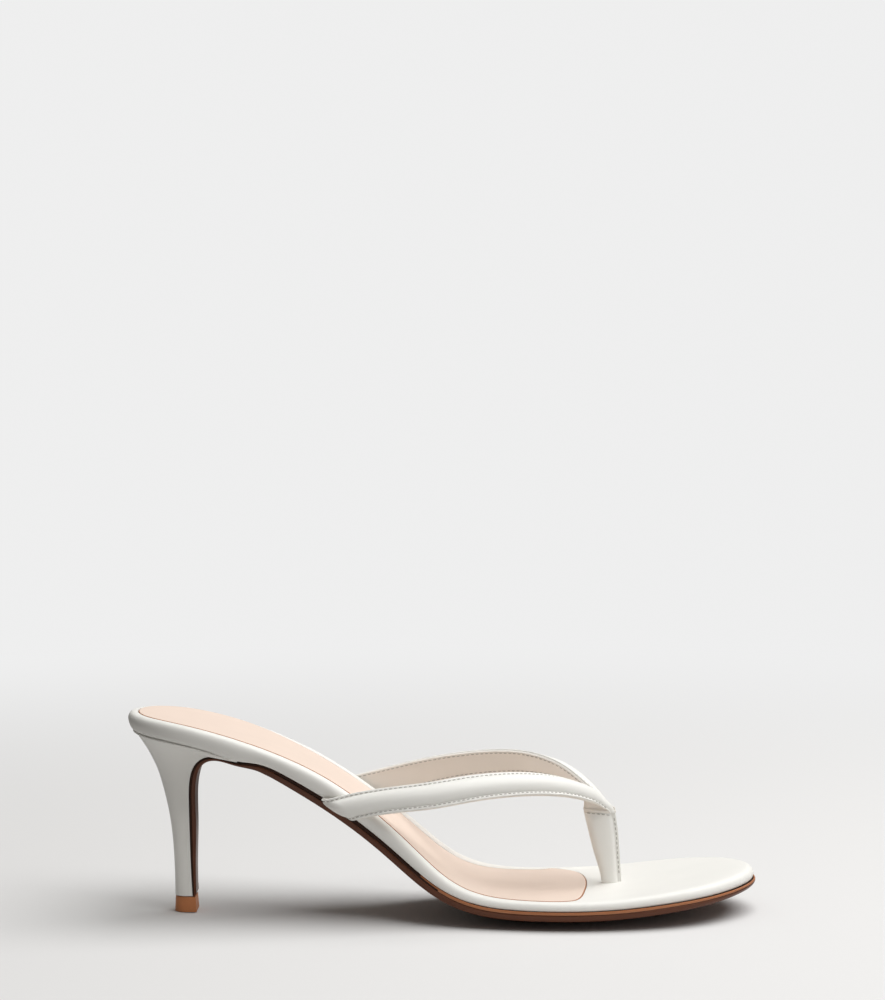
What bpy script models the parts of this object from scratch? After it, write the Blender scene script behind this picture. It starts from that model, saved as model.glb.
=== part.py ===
"""A heeled toe-post sandal for the right foot, standing on its sole.

+X points to the toe, +Z is up and the foot's outer (lateral) side is -Y.
Sizes are in millimetres, and MM turns them into metres as each mesh is made.
"Along" is the distance from the back of the heel measured along the last.
"""

import bmesh
import bpy
import numpy as np
from mathutils import Vector

MM = 0.001
GAP = 0.3  # clearance between neighbouring pieces
STATIONS = 48  # steps along each side of a plate
LANES = 6  # strips across a plate
TURN_WEIGHT = 40.0  # how strongly stations crowd where an edge turns

# Rim line of the footbed, seen from the side: x forward, z up.
RIM_LINE = (
    (0.0, 73.1),
    (14.4, 71.8),
    (28.8, 68.9),
    (43.2, 64.6),
    (57.6, 59.1),
    (72.0, 51.9),
    (86.4, 42.2),
    (100.8, 30.3),
    (108.0, 23.8),
    (115.2, 18.0),
    (122.4, 14.1),
    (129.6, 12.0),
    (138.0, 10.9),
    (150.0, 10.4),
    (162.0, 10.4),
    (176.0, 11.0),
    (190.0, 12.35),
    (204.0, 13.9),
    (216.0, 15.15),
    (225.0, 16.0),
)

# Footbed outline from above: x, lateral edge, medial edge.
FOOTBED_SIDES = (
    (5.5, -14.8, 14.8),
    (14.4, -21.2, 21.0),
    (28.8, -24.6, 24.4),
    (45.0, -25.2, 24.6),
    (58.0, -24.8, 23.6),
    (72.0, -24.3, 22.5),
    (88.0, -25.2, 23.0),
    (102.0, -27.6, 25.2),
    (116.0, -30.8, 28.6),
    (130.0, -33.8, 31.6),
    (144.0, -36.0, 33.6),
    (158.0, -36.9, 35.4),
    (172.0, -35.7, 37.3),
    (186.0, -32.8, 38.8),
    (197.0, -28.8, 38.6),
    (207.0, -22.8, 36.2),
    (216.0, -13.8, 30.8),
)
TOE_TIP_Y = 7.5

# Footbed thickness and the shallow trough across the last: along, thickness, depth, middle y, half width.
LAST_FORM = (
    (0.0, 6.3, 0.0, 0.0, 25.0),
    (20.0, 6.9, 0.9, 0.0, 25.0),
    (38.0, 7.35, 0.5, 0.0, 25.0),
    (52.0, 7.25, 0.0, 0.0, 25.0),
    (75.0, 6.5, 0.0, 0.0, 26.0),
    (100.0, 5.9, 0.0, -1.0, 28.0),
    (120.0, 5.1, 0.4, -1.0, 32.0),
    (140.0, 3.9, 1.0, -1.0, 37.0),
    (160.0, 3.45, 1.2, -0.5, 37.0),
    (185.0, 3.45, 1.2, 1.0, 37.0),
    (210.0, 3.9, 0.9, 4.0, 35.0),
    (243.0, 4.3, 0.0, 8.0, 32.0),
)

# Wrapped rim of the footbed in cross-section: inset from the outline, share of the thickness below the rim line.
RIM_SECTION = (
    (4.6, 0.0),
    (2.6, 0.0),
    (1.3, 0.05),
    (0.45, 0.16),
    (0.0, 0.34),
    (0.1, 0.55),
    (0.6, 0.76),
    (1.3, 0.92),
    (2.4, 1.0),
)

# Sock lining
SOCK_INSET = 3.0
SOCK_THICK = 1.1
SOCK_PROUD = 0.15
# Its front edge from above, from the lateral corner across to the medial side.
SOCK_FRONT = (
    (154.0, -33.8),
    (159.6, -31.8),
    (162.5, -25.0),
    (164.0, -12.0),
    (164.9, 2.0),
    (165.0, 11.0),
    (164.2, 20.0),
    (161.9, 27.2),
    (157.9, 31.2),
    (152.0, 32.2),
)
SOCK_FRONT_MIDDLE = 4  # the foremost of those points

# Inner face of the sole flap on the heel breast, from its foot up and over the arch: x, z.
BREAST_LINE = (
    (23.6, 5.8),
    (23.0, 19.0),
    (22.7, 32.0),
    (22.6, 42.0),
    (23.2, 49.5),
    (25.0, 54.0),
    (28.6, 56.9),
    (34.0, 57.5),
    (40.0, 56.4),
)
SOLE_JOIN = 54.0  # along: from here forward the sole follows the footbed's underside
SOLE_STEP = 6.0  # along: between the points that its side view is drawn through there

# Sole: along, thickness, and how far its edge stands out from the footbed's outline.
SOLE_FORM = (
    (54.0, 1.7, -4.0),
    (64.0, 2.4, -4.0),
    (80.0, 3.4, -3.8),
    (100.0, 3.6, -3.6),
    (115.0, 3.4, -2.4),
    (130.0, 3.2, -0.6),
    (145.0, 3.1, 0.4),
    (165.0, 3.1, 0.5),
    (200.0, 3.0, 0.6),
    (225.0, 2.7, 0.6),
    (243.0, 2.3, 0.6),
)
# Flap on the breast: share of the way from its foot to the join, thickness, half width.
FLAP_FORM = (
    (0.0, 1.1, 4.9),
    (0.18, 1.6, 5.1),
    (0.36, 2.1, 5.6),
    (0.5, 2.0, 6.6),
    (0.6, 2.1, 8.0),
    (0.69, 1.7, 11.0),
    (0.78, 1.3, 15.0),
    (0.88, 1.2, 18.4),
    (1.0, 1.7, 20.2),
)
SOLE_BELLY = 2.6  # extra depth of the sole's middle under the ball

# Heel block, a row for each section: back x, back z, how far up the flap its front edge lies.
HEEL_SECTIONS = (
    (16.8, 5.8, 0.0),
    (16.5, 18.0, 0.17),
    (15.6, 30.0, 0.33),
    (14.0, 39.5, 0.46),
    (12.0, 47.5, 0.555),
    (10.4, 51.6, 0.615),
    (9.0, 54.4, 0.66),
    (7.6, 56.9, 0.7),
    (6.2, 59.2, 0.74),
    (4.8, 61.5, 0.79),
    (3.3, 64.0, 0.87),
)
HEEL_TOP_INSET = 2.3  # of its top edge from the footbed's outline
HEEL_TOP_FRONT = 43.0  # along: where its lip under the footbed ends
HEEL_STATIONS = 14
HEEL_FULLNESS = 2.6  # how square a section is

TOP_PIECE_HEIGHT = 5.5
TOP_PIECE_BACK = (16.6, 16.9)  # x at the floor and at the top
TOP_PIECE_FRONT = (24.8, 24.4)
TOP_PIECE_HALF = (5.2, 4.9)

# Strap in cross-section: across from its middle, height of the outer face over the lining.
BAND_SECTION = (
    (-5.2, 1.6),
    (-3.95, 1.6),
    (-3.6, 2.2),
    (-2.8, 3.05),
    (-1.4, 3.8),
    (0.0, 4.0),
    (1.4, 3.8),
    (2.8, 3.05),
    (3.6, 2.2),
    (3.95, 1.6),
    (5.2, 1.6),
)
# Middle of each strap's lining from its tuck to the post: x, y, z, lean of its face above level, size.
LATERAL_STRAP = (
    (72.0, -25.0, 39.9, 0.0, 0.88),
    (78.0, -25.1, 41.2, 5.0, 0.89),
    (84.0, -25.7, 42.4, 18.0, 0.91),
    (95.0, -26.4, 44.2, 34.0, 0.96),
    (109.0, -25.9, 45.8, 38.0, 1.0),
    (123.0, -22.4, 47.7, 41.0, 0.99),
    (137.5, -16.0, 48.3, 45.0, 0.98),
    (150.0, -8.3, 47.0, 50.0, 0.96),
    (160.0, -1.0, 44.2, 54.0, 0.9),
    (167.0, 3.9, 40.9, 56.0, 0.74),
    (171.0, 5.9, 38.3, 52.0, 0.46),
    (173.3, 6.6, 36.5, 42.0, 0.3),
    (174.4, 7.0, 34.0, 40.0, 0.24),
)
MEDIAL_STRAP = (
    (73.5, 23.2, 38.9, 0.0, 0.92),
    (79.5, 23.3, 40.3, 2.0, 0.93),
    (86.0, 24.2, 41.7, 8.0, 0.96),
    (99.0, 25.4, 44.8, 17.0, 1.0),
    (114.0, 25.9, 48.1, 26.0, 1.0),
    (128.5, 24.9, 50.1, 31.0, 1.0),
    (141.0, 22.0, 50.7, 36.0, 1.0),
    (150.0, 18.6, 49.7, 44.0, 1.0),
    (157.5, 15.0, 47.3, 51.0, 0.96),
    (163.5, 12.0, 43.6, 56.0, 0.86),
    (168.2, 10.1, 40.1, 56.0, 0.66),
    (171.4, 9.3, 37.6, 50.0, 0.44),
    (173.4, 8.8, 36.1, 42.0, 0.3),
    (174.4, 8.4, 34.0, 40.0, 0.24),
)
STRAP_RINGS = (15, 28)  # over its tuck and over the rest
TUCK_RUN = 20.0  # length of a strap's end that holds the tuck
TUCK_TURN = 2.0  # radius of the footbed's lower edge as a strap rolls around it
TUCK_MIDDLE = 0.9  # height in the strap that keeps its length in the roll
TUCK_SKIVE = (4.5, 0.55)  # length over which the tucked end gets thinner, and the share it loses
TUCK_SPAN = (58.0, 112.0)  # along: the stretch of the sole's edge that the tucked ends stop at
TUCK_DEPTH = 8.0  # of that trim below the sole's inner face

# Toe post, a row for each level: z, rear x, front x, half thickness.
POST_FORM = (
    (6.8, 170.8, 177.8, 2.0),
    (12.0, 170.1, 177.6, 2.05),
    (20.0, 167.8, 177.0, 2.2),
    (28.0, 165.7, 176.4, 2.4),
    (36.0, 163.8, 175.2, 2.5),
)
POST_Y = 7.6
POST_SEAM_Z = 35.0  # the post below this level is stitched to the straps above it
POST_HEAD_TOP = (41.2, 36.8)  # of its end above the seam, which fills the corner under the straps: rear, front
POST_FLANGE = (1.4, 0.55)  # depth and half thickness of the flange down its front edge
POST_SLOT_AT = 173.0  # along: where the slot's depth is taken
POST_SLOT_FLOOR = 1.0  # left under the post in the footbed
POST_SLOT_TOP = 16.0  # of the slot's cutter, clear above the footbed
SEAM_CUT = ((150.0, -10.0, 0.0), (190.0, 30.0, POST_SEAM_Z + GAP))  # box that trims the upper at the seam


class Curve:
    """A natural cubic spline; its parameter is the chord length unless one is given."""

    def __init__(self, points, at=None):
        self.points = np.array(points, dtype=float)
        if at is None:
            steps = np.linalg.norm(np.diff(self.points, axis=0), axis=1)
            at = np.concatenate(([0.0], np.cumsum(steps)))
        self.at = np.array(at, dtype=float)
        gaps = np.diff(self.at)
        rises = np.diff(self.points, axis=0) / gaps[:, None]
        system = np.eye(len(self.at))
        turns = np.zeros_like(self.points)
        for i in range(1, len(gaps)):
            system[i, i - 1 : i + 2] = gaps[i - 1], 2 * (gaps[i - 1] + gaps[i]), gaps[i]
            turns[i] = 6 * (rises[i] - rises[i - 1])
        self.bends = np.linalg.solve(system, turns)

    def _span(self, t):
        i = int(np.clip(np.searchsorted(self.at, t) - 1, 0, len(self.at) - 2))
        gap = self.at[i + 1] - self.at[i]
        return i, gap, (self.at[i + 1] - t) / gap

    def point(self, t):
        i, gap, a = self._span(t)
        b = 1 - a
        line = a * self.points[i] + b * self.points[i + 1]
        curl = (a**3 - a) * self.bends[i] + (b**3 - b) * self.bends[i + 1]
        return line + curl * gap * gap / 6

    def tangent(self, t):
        i, gap, a = self._span(t)
        b = 1 - a
        line = (self.points[i + 1] - self.points[i]) / gap
        curl = (3 * b * b - 1) * self.bends[i + 1] - (3 * a * a - 1) * self.bends[i]
        way = line + curl * gap / 6
        return way / np.linalg.norm(way)


def table(rows):
    """Columns after the first, as smooth functions of the first."""
    rows = np.array(rows, dtype=float)
    return Curve(rows[:, 1:], rows[:, 0])


LAST = Curve(RIM_LINE)
LAST_SPOTS = np.linspace(0.0, LAST.at[-1], 500)
LAST_POINTS = np.array([LAST.point(s) for s in LAST_SPOTS])
FORM = table(LAST_FORM)
SIDES = table(FOOTBED_SIDES)
SOLE = table(SOLE_FORM)


def along_at(x):
    """Distance along the last at a distance forward."""
    return float(np.interp(x, LAST_POINTS[:, 0], LAST_SPOTS))


def nearest_along(x, z):
    """Distance along the last where its rim line passes nearest a point in side view."""
    offset = np.array((x, z)) - LAST_POINTS
    nearest = int(np.argmin(np.linalg.norm(offset, axis=1)))
    return float(LAST_SPOTS[nearest] + offset[nearest] @ LAST.tangent(LAST_SPOTS[nearest]))


def thickness(along):
    return FORM.point(along)[0]


def trough(along, y):
    """How far the last dips below its rim line."""
    _, depth, middle, half = FORM.point(along)
    return max(depth, 0.0) * max(0.0, 1 - ((y - middle) / half) ** 2)


def raised(curve, t, y, height):
    """A point at a height over a side-view curve, square to it."""
    x, z = curve.point(t)
    way_x, way_z = curve.tangent(t)
    return Vector((x - way_z * height, y, z + way_x * height))


def on_last(along, y, height):
    """A point at a height over the footbed's rim line, with the trough taken off."""
    return raised(LAST, along, y, height - trough(along, y))


def sole_path():
    """Side view of the sole's inner face: the breast and the arch, then the footbed's underside."""
    stops = np.arange(SOLE_JOIN, LAST.at[-1] + SOLE_STEP, SOLE_STEP)
    under = [raised(LAST, s, 0.0, -thickness(s) - GAP) for s in stops]
    points = list(BREAST_LINE) + [(p.x, p.z) for p in under]
    breast = np.array(points[: len(BREAST_LINE) + 1])
    steps = np.linalg.norm(np.diff(breast, axis=0), axis=1)
    start = SOLE_JOIN - steps.sum()
    at = np.concatenate(([start], start + np.cumsum(steps)))
    at = np.concatenate((at, stops[1:]))
    return Curve(points, at)


SOLE_PATH = sole_path()
SOLE_START = float(SOLE_PATH.at[0])
FLAP = table([(SOLE_START + share * (SOLE_JOIN - SOLE_START), *rest) for share, *rest in FLAP_FORM])


def on_sole(along, y, height):
    """A point at a height over the sole's inner face, kept off the floor's underside."""
    dip = trough(along, y) if along > SOLE_JOIN else 0.0
    point = raised(SOLE_PATH, along, y, height - dip)
    point.z = max(point.z, 0.0)
    return point


def sole_thickness(along):
    return SOLE.point(along)[0] if along >= SOLE_JOIN else FLAP.point(along)[0]


class Outline:
    """A plate's outline on the flat, as matching left and right points with their outward normals."""

    def __init__(self, left, right, start_open=False, end_open=False):
        self.left = np.array(left, dtype=float)
        self.right = np.array(right, dtype=float)
        self.start_open = start_open
        self.end_open = end_open
        self.steps = len(self.left) - 1
        loop = np.concatenate((self.left, self.right[::-1]))
        keep = np.ones(len(loop), dtype=bool)
        if not end_open:
            keep[len(self.left)] = False
        if not start_open:
            keep[-1] = False
        points = loop[keep]
        way = np.roll(points, -1, axis=0) - np.roll(points, 1, axis=0)
        outward = np.stack((way[:, 1], -way[:, 0]), axis=1)
        outward /= np.linalg.norm(outward, axis=1)[:, None]
        area = np.sum(points[:, 0] * np.roll(points[:, 1], -1) - points[:, 1] * np.roll(points[:, 0], -1))
        full = np.empty_like(loop)
        full[keep] = outward * np.sign(area)
        if not end_open:
            full[len(self.left)] = full[len(self.left) - 1]
        if not start_open:
            full[-1] = full[0]
        self.left_out = full[: len(self.left)]
        self.right_out = full[len(self.left) :][::-1]

    def spot(self, station, share, inset):
        """A point on the flat: share 0 is the left edge, 1 the right."""
        left, right = self.left[station], self.right[station]
        left = left - self.left_out[station] * (inset(left[0]) if callable(inset) else inset)
        right = right - self.right_out[station] * (inset(right[0]) if callable(inset) else inset)
        return left + (right - left) * share

    def grown(self, amount):
        left = self.left + self.left_out * amount
        right = self.right + self.right_out * amount
        return Outline(left, right, self.start_open, self.end_open)


def evenly_turned(curve, start, end, steps):
    """Points along a flat curve, closer together where the bent edge turns."""
    spots = np.linspace(start, end, 400)
    flat = np.array([curve.point(t) for t in spots])
    edge = np.array([on_last(s, y, 0.0) for s, y in flat])
    runs = np.diff(edge, axis=0)
    lengths = np.linalg.norm(runs, axis=1)
    ways = runs / lengths[:, None]
    turns = np.concatenate(([0.0], np.linalg.norm(np.diff(ways, axis=0), axis=1)))
    effort = np.concatenate(([0.0], np.cumsum(lengths + TURN_WEIGHT * turns)))
    return [curve.point(np.interp(effort[-1] * k / steps, effort, spots)) for k in range(steps + 1)]


def footbed_loop():
    """The closed curve through the table's points, and where it starts, passes the tip and ends."""
    lateral = [(along_at(x), y) for x, y, _ in FOOTBED_SIDES]
    medial = [(along_at(x), y) for x, _, y in FOOTBED_SIDES]
    loop = [(0.0, 0.0), *lateral, (float(LAST.at[-1]), TOE_TIP_Y), *medial[::-1]]
    wrapped = Curve(loop[-3:] + loop + loop[:3])
    return wrapped, wrapped.at[3], wrapped.at[4 + len(lateral)], wrapped.at[3 + len(loop)]


def footbed_outline():
    wrapped, start, tip, end = footbed_loop()
    return Outline(
        evenly_turned(wrapped, start, tip, STATIONS), evenly_turned(wrapped, end, tip, STATIONS)
    )


def around(steps, lanes, start_open, end_open):
    """A ring's points in order, each as (station, share across)."""
    ring = [(i, 0.0) for i in range(steps + 1)]
    if end_open:
        ring += [(steps, lane / lanes) for lane in range(1, lanes)]
    ring += [(i, 1.0) for i in range(steps if end_open else steps - 1, -1 if start_open else 0, -1)]
    if start_open:
        ring += [(0, lane / lanes) for lane in range(lanes - 1, 0, -1)]
    return ring


def fill_cap(mesh, ring, verts, steps, lanes, point):
    """Closes a ring with rungs across it; point(station, share) gives the points inside."""
    known = dict(zip(ring, verts))
    rungs = []
    for i in range(steps + 1):
        closed = (i, 1.0) not in known
        shares = [0.0] if closed else [lane / lanes for lane in range(lanes + 1)]
        rungs.append(
            [known[i, f] if (i, f) in known else mesh.verts.new(point(i, f) * MM) for f in shares]
        )
    for one, two in zip(rungs, rungs[1:]):
        for lane in range(lanes):
            corners = [one[min(lane, len(one) - 1)], one[min(lane + 1, len(one) - 1)]]
            corners += [two[min(lane + 1, len(two) - 1)], two[min(lane, len(two) - 1)]]
            mesh.faces.new(list(dict.fromkeys(corners)))


def solid(name, rings, steps, point, lanes=1, start_open=True, end_open=True):
    """A closed solid of stacked rings, where point(ring, station, share) places each vertex."""
    mesh = bmesh.new()
    ring = around(steps, lanes, start_open, end_open)
    loops = [[mesh.verts.new(point(k, i, f) * MM) for i, f in ring] for k in range(rings)]
    for lower, upper in zip(loops, loops[1:]):
        for a in range(len(ring)):
            b = (a + 1) % len(ring)
            mesh.faces.new((lower[a], lower[b], upper[b], upper[a]))
    fill_cap(mesh, ring, loops[0], steps, lanes, lambda i, f: point(0, i, f))
    fill_cap(mesh, ring, loops[-1], steps, lanes, lambda i, f: point(rings - 1, i, f))
    bmesh.ops.recalc_face_normals(mesh, faces=mesh.faces)
    if mesh.calc_volume(signed=True) < 0:
        bmesh.ops.reverse_faces(mesh, faces=mesh.faces)
    data = bpy.data.meshes.new(name)
    mesh.to_mesh(data)
    mesh.free()
    made = bpy.data.objects.new(name, data)
    bpy.context.collection.objects.link(made)
    data.shade_smooth()
    data.set_sharp_from_angle(angle=np.radians(50))
    return made


def plate(name, outline, place, section, lanes=LANES, belly=None):
    """A plate bent by place(along, y, height): a row of section is a ring's inset and height."""

    def point(ring, station, share):
        inset, height = section[ring]
        along, y = outline.spot(station, share, inset)
        level = height(along) if callable(height) else height
        if belly and ring == len(section) - 1:
            level -= belly(along) * 4 * share * (1 - share)
        return place(along, y, level)

    return solid(
        name, len(section), outline.steps, point, lanes, outline.start_open, outline.end_open
    )


def rim_section(grow=0.0):
    """Rings of the footbed's wrapped edge, let out by grow on every side for a cutter."""
    rings = []
    for inset, share in RIM_SECTION:
        lift = grow * (1 - 2 * share)
        rings.append((inset - grow, lambda s, share=share, lift=lift: lift - share * thickness(s)))
    return rings


def footbed_form(name, grow=0.0):
    return plate(name, footbed_outline(), on_last, rim_section(grow))


def sock_outline():
    """The footbed's outline moved in, then across its own front edge."""
    inner = footbed_outline().grown(-SOCK_INSET)
    front = [(along_at(x), y) for x, y in SOCK_FRONT]
    halves = []
    for side, edge in (
        (inner.left, front[: SOCK_FRONT_MIDDLE + 1]),
        (inner.right, front[: SOCK_FRONT_MIDDLE - 1 : -1]),
    ):
        shown = [tuple(p) for p in side if p[0] < edge[0][0] - 2.0]
        line = Curve(shown + edge)
        halves.append(evenly_turned(line, 0.0, line.at[-1], STATIONS))
    return Outline(*halves)


def sock_section(grow=0.0):
    """Rings of the lining: softened top edge, straight side, flat underside."""
    low = -(SOCK_THICK - SOCK_PROUD) - grow
    if grow:
        return [(-grow, 3.0), (-grow, low)]
    return [(0.5, SOCK_PROUD), (0.1, SOCK_PROUD - 0.2), (0.0, SOCK_PROUD - 0.5), (0.0, low)]


def tucked(point, outward):
    """A strap's point, rolled around the footbed's lower edge and in under it once it is past that."""
    along = nearest_along(point.x, point.z)
    base = raised(LAST, along, 0.0, 0.0)
    way_x, way_z = LAST.tangent(along)
    centre = TUCK_TURN - thickness(along)
    past = centre - (point.z - base.z) * way_x + (point.x - base.x) * way_z
    if past <= 0:
        return point
    edge = outward * SIDES.point(base.x)[0 if outward < 0 else 1]
    length, lost = TUCK_SKIVE
    skive = min(past / length, 1.0)
    clear = (outward * point.y - edge - GAP) * (1 - lost * skive * skive * (3 - 2 * skive))
    radius = TUCK_TURN + GAP + clear
    turned = TUCK_TURN + GAP + TUCK_MIDDLE
    angle = min(past / turned, np.pi / 2)
    out = edge - TUCK_TURN + radius * np.cos(angle) - (past - turned * angle)
    return raised(LAST, along, outward * out, centre - radius * np.sin(angle))


def strap(name, rows, outward):
    """A padded band swept along its rows; outward is -1 on the lateral side and +1 on the medial."""
    path = Curve([row[:3] for row in rows])
    lean = Curve([row[3:] for row in rows], path.at)
    half = len(BAND_SECTION) - 1
    tuck, rest = STRAP_RINGS
    stops = np.concatenate(
        (np.linspace(0.0, TUCK_RUN, tuck, endpoint=False), np.linspace(TUCK_RUN, path.at[-1], rest))
    )

    def point(ring, station, share):
        angle, size = lean.point(stops[ring])
        way = Vector(path.tangent(stops[ring]))
        flat = Vector((way.y, -way.x, 0.0)).normalized() * -outward
        side = way.cross(flat).normalized() * outward
        face = flat * np.cos(np.radians(angle)) + side * np.sin(np.radians(angle))
        across = way.cross(face).normalized()
        width, height = BAND_SECTION[station]
        level = 0.0 if share else height
        made = Vector(path.point(stops[ring])) + across * width * size + face * level * size
        return tucked(made, outward)

    return solid(name, len(stops), half, point)


def post_level(z, grow=0.0):
    """Stations of the post's section at a level: x, half thickness, from its round rear to its flange."""
    rear, front, half = table(POST_FORM).point(z)
    flange, thin = POST_FLANGE
    body = front - flange
    turn = [np.pi / 2 * k / 4 for k in range(5)]
    rows = [(rear + 3.0 * (1 - np.cos(a)), half * np.sin(a) ** 0.8) for a in turn]
    rows += [(body - 1.6, half * 0.97), (body - 0.6, half * 0.72), (body, thin + 0.15), (front, thin)]
    first, last = rows[0][0], rows[-1][0]
    return [(x + grow * (2 * (x - first) / (last - first) - 1), w + grow) for x, w in rows]


def post_form(name, low, high, grow=0.0):
    """The toe post between two levels."""
    levels = np.linspace(low, high, max(2, round((high - low) / 3.0)))
    steps = len(post_level(low)) - 1

    def point(ring, station, share):
        x, half = post_level(levels[ring], grow)[station]
        return Vector((x, POST_Y + half * (2 * share - 1), levels[ring]))

    return solid(name, len(levels), steps, point, start_open=grow > 0)


def post_head(name):
    """The post's end above the seam, sloping down to the front under both straps."""
    rows = post_level(POST_SEAM_Z)
    rear, front = rows[0][0], rows[-1][0]
    tops = [float(np.interp(x, (rear, front), POST_HEAD_TOP)) for x, _ in rows]

    def point(ring, station, share):
        x, half = rows[station]
        return Vector((x, POST_Y + half * (2 * share - 1), tops[station] if ring else POST_SEAM_Z - 1.0))

    return solid(name, 2, len(rows) - 1, point, start_open=False)


def heel_form(name):
    """The heel block: a fan of rounded sections from the top piece up to the footbed."""
    base = footbed_outline()
    shares = np.linspace(0.0, 1.0, HEEL_STATIONS + 1) ** 1.6
    count = len(HEEL_SECTIONS)
    edge = base.grown(-HEEL_TOP_INSET)

    def top_spot(station, share):
        fraction = station / HEEL_STATIONS
        sides = []
        for side in (edge.left, edge.right):
            shown = [p for p in side if p[0] <= HEEL_TOP_FRONT + 12]
            line = Curve(shown)
            reach = np.interp(HEEL_TOP_FRONT, [p[0] for p in shown], line.at)
            sides.append(line.point(reach * fraction))
        return sides[0] + (sides[1] - sides[0]) * share

    def point(ring, station, share):
        if ring == count:
            along, y = top_spot(station, share)
            return on_last(along, y, -thickness(along) - GAP)
        back_x, back_z, rise = HEEL_SECTIONS[ring]
        up = SOLE_START + rise * (SOLE_JOIN - SOLE_START)
        front = raised(SOLE_PATH, up, 0.0, GAP)
        half = FLAP.point(up)[1]
        q = shares[station]
        wide = half * (1 - (1 - min(1.0, q / 0.75)) ** HEEL_FULLNESS) ** (1 / HEEL_FULLNESS)
        x = back_x + (front.x - back_x) * q
        z = back_z + (front.z - back_z) * q
        return Vector((x, wide * (2 * share - 1), z))

    return solid(name, count + 1, HEEL_STATIONS, point, lanes=4, start_open=False)


def top_piece_form(name):
    shares = np.linspace(0.0, 1.0, HEEL_STATIONS + 1) ** 1.6
    levels = (0.0, TOP_PIECE_HEIGHT)

    def point(ring, station, share):
        back, front, half = (pair[ring] for pair in (TOP_PIECE_BACK, TOP_PIECE_FRONT, TOP_PIECE_HALF))
        q = shares[station]
        wide = half * (1 - (1 - min(1.0, q / 0.75)) ** HEEL_FULLNESS) ** (1 / HEEL_FULLNESS)
        return Vector((back + (front - back) * q, wide * (2 * share - 1), levels[ring]))

    return solid(name, 2, HEEL_STATIONS, point, lanes=4, start_open=False)


def sole_outline(grow=0.0):
    """The flap's sides up the breast, then the footbed's outline let in or out by the sole's own table."""
    base = footbed_outline()
    flap_steps = 16
    left, right = [], []
    for step in range(flap_steps + 1):
        up = SOLE_START + (SOLE_JOIN - SOLE_START) * step / flap_steps
        half = FLAP.point(up)[1] + grow
        left.append((up, -half))
        right.append((up, half))
    for i in range(base.steps + 1):
        a, b = base.left[i], base.right[i]
        if min(a[0], b[0]) < SOLE_JOIN + 4:
            continue
        left.append(a + base.left_out[i] * (SOLE.point(a[0])[1] + grow))
        right.append(b + base.right_out[i] * (SOLE.point(b[0])[1] + grow))
    return Outline(left, right, start_open=True)


def belly(along):
    """The sole's middle is deeper than its edge under the ball and flat in the waist."""
    return float(np.interp(along, (112.0, 150.0, 190.0, 243.0), (0.0, SOLE_BELLY, SOLE_BELLY, 0.2)))


def sole_form(name):
    rings = [(0.3, 0.0), (0.0, lambda s: -0.12 * sole_thickness(s))]
    rings += [(0.1, lambda s: -0.45 * sole_thickness(s)), (0.45, lambda s: -0.8 * sole_thickness(s))]
    rings += [(1.0, lambda s: -sole_thickness(s)), (3.2, lambda s: -sole_thickness(s) - 0.15 * belly(s))]
    return plate(name, sole_outline(), on_sole, rings, belly=belly)


def cut(target, cutter, operation="DIFFERENCE"):
    """A boolean with a helper that isn't part of the shoe."""
    step = target.modifiers.new(f"{operation.lower()}_{cutter.name}", "BOOLEAN")
    step.operation = operation
    step.solver = "EXACT"
    step.object = cutter
    cutter.hide_render = True
    cutter.display_type = "WIRE"
    return target


def box_form(name, low, high):
    mesh = bmesh.new()
    bmesh.ops.create_cube(mesh, size=1.0)
    for vert in mesh.verts:
        for axis in range(3):
            vert.co[axis] = (high if vert.co[axis] > 0 else low)[axis] * MM
    data = bpy.data.meshes.new(name)
    mesh.to_mesh(data)
    mesh.free()
    made = bpy.data.objects.new(name, data)
    bpy.context.collection.objects.link(made)
    return made


def sole_clearance(name):
    """The sole's room in the waist, where the straps' tucked ends stop short of its edge."""
    whole = sole_outline(grow=GAP)
    start, end = TUCK_SPAN
    kept = (whole.left[:, 0] > start) & (whole.left[:, 0] < end)
    waist = Outline(whole.left[kept], whole.right[kept], True, True)
    return plate(name, waist, on_sole, [(0.0, 1.0), (0.0, -TUCK_DEPTH)], lanes=4)


def slot_floor():
    """Level of the bottom of the post's slot in the footbed."""
    return on_last(POST_SLOT_AT, POST_Y, -thickness(POST_SLOT_AT)).z + POST_SLOT_FLOOR


def make_footbed():
    footbed = footbed_form("footbed")
    recess = plate("sock_recess", sock_outline(), on_last, sock_section(grow=GAP), lanes=4)
    cut(footbed, recess)
    return cut(footbed, post_form("post_slot", slot_floor(), POST_SLOT_TOP, grow=GAP))


def make_sock():
    return plate("sock_lining", sock_outline(), on_last, sock_section())


def make_upper():
    upper = strap("upper", LATERAL_STRAP, -1.0)
    cut(upper, strap("medial_strap", MEDIAL_STRAP, 1.0), "UNION")
    cut(upper, post_head("post_head"), "UNION")
    cut(upper, footbed_form("footbed_clearance", grow=GAP))
    cut(upper, sole_clearance("sole_clearance"))
    return cut(upper, box_form("under_seam", *SEAM_CUT))


def make_post():
    return post_form("toe_post", slot_floor() + GAP, POST_SEAM_Z)


# Finish of each piece: colour, roughness, metallic.
FINISHES = {
    "outsole": ((0.115, 0.052, 0.028, 1.0), 0.45, 0.0),
    "footbed": ((0.86, 0.85, 0.80, 1.0), 0.4, 0.0),
    "sock_lining": ((0.80, 0.64, 0.53, 1.0), 0.55, 0.0),
    "heel": ((0.86, 0.85, 0.80, 1.0), 0.4, 0.0),
    "top_piece": ((0.26, 0.10, 0.035, 1.0), 0.5, 0.0),
    "upper": ((0.88, 0.87, 0.83, 1.0), 0.35, 0.0),
    "toe_post": ((0.88, 0.87, 0.83, 1.0), 0.35, 0.0),
}


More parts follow.
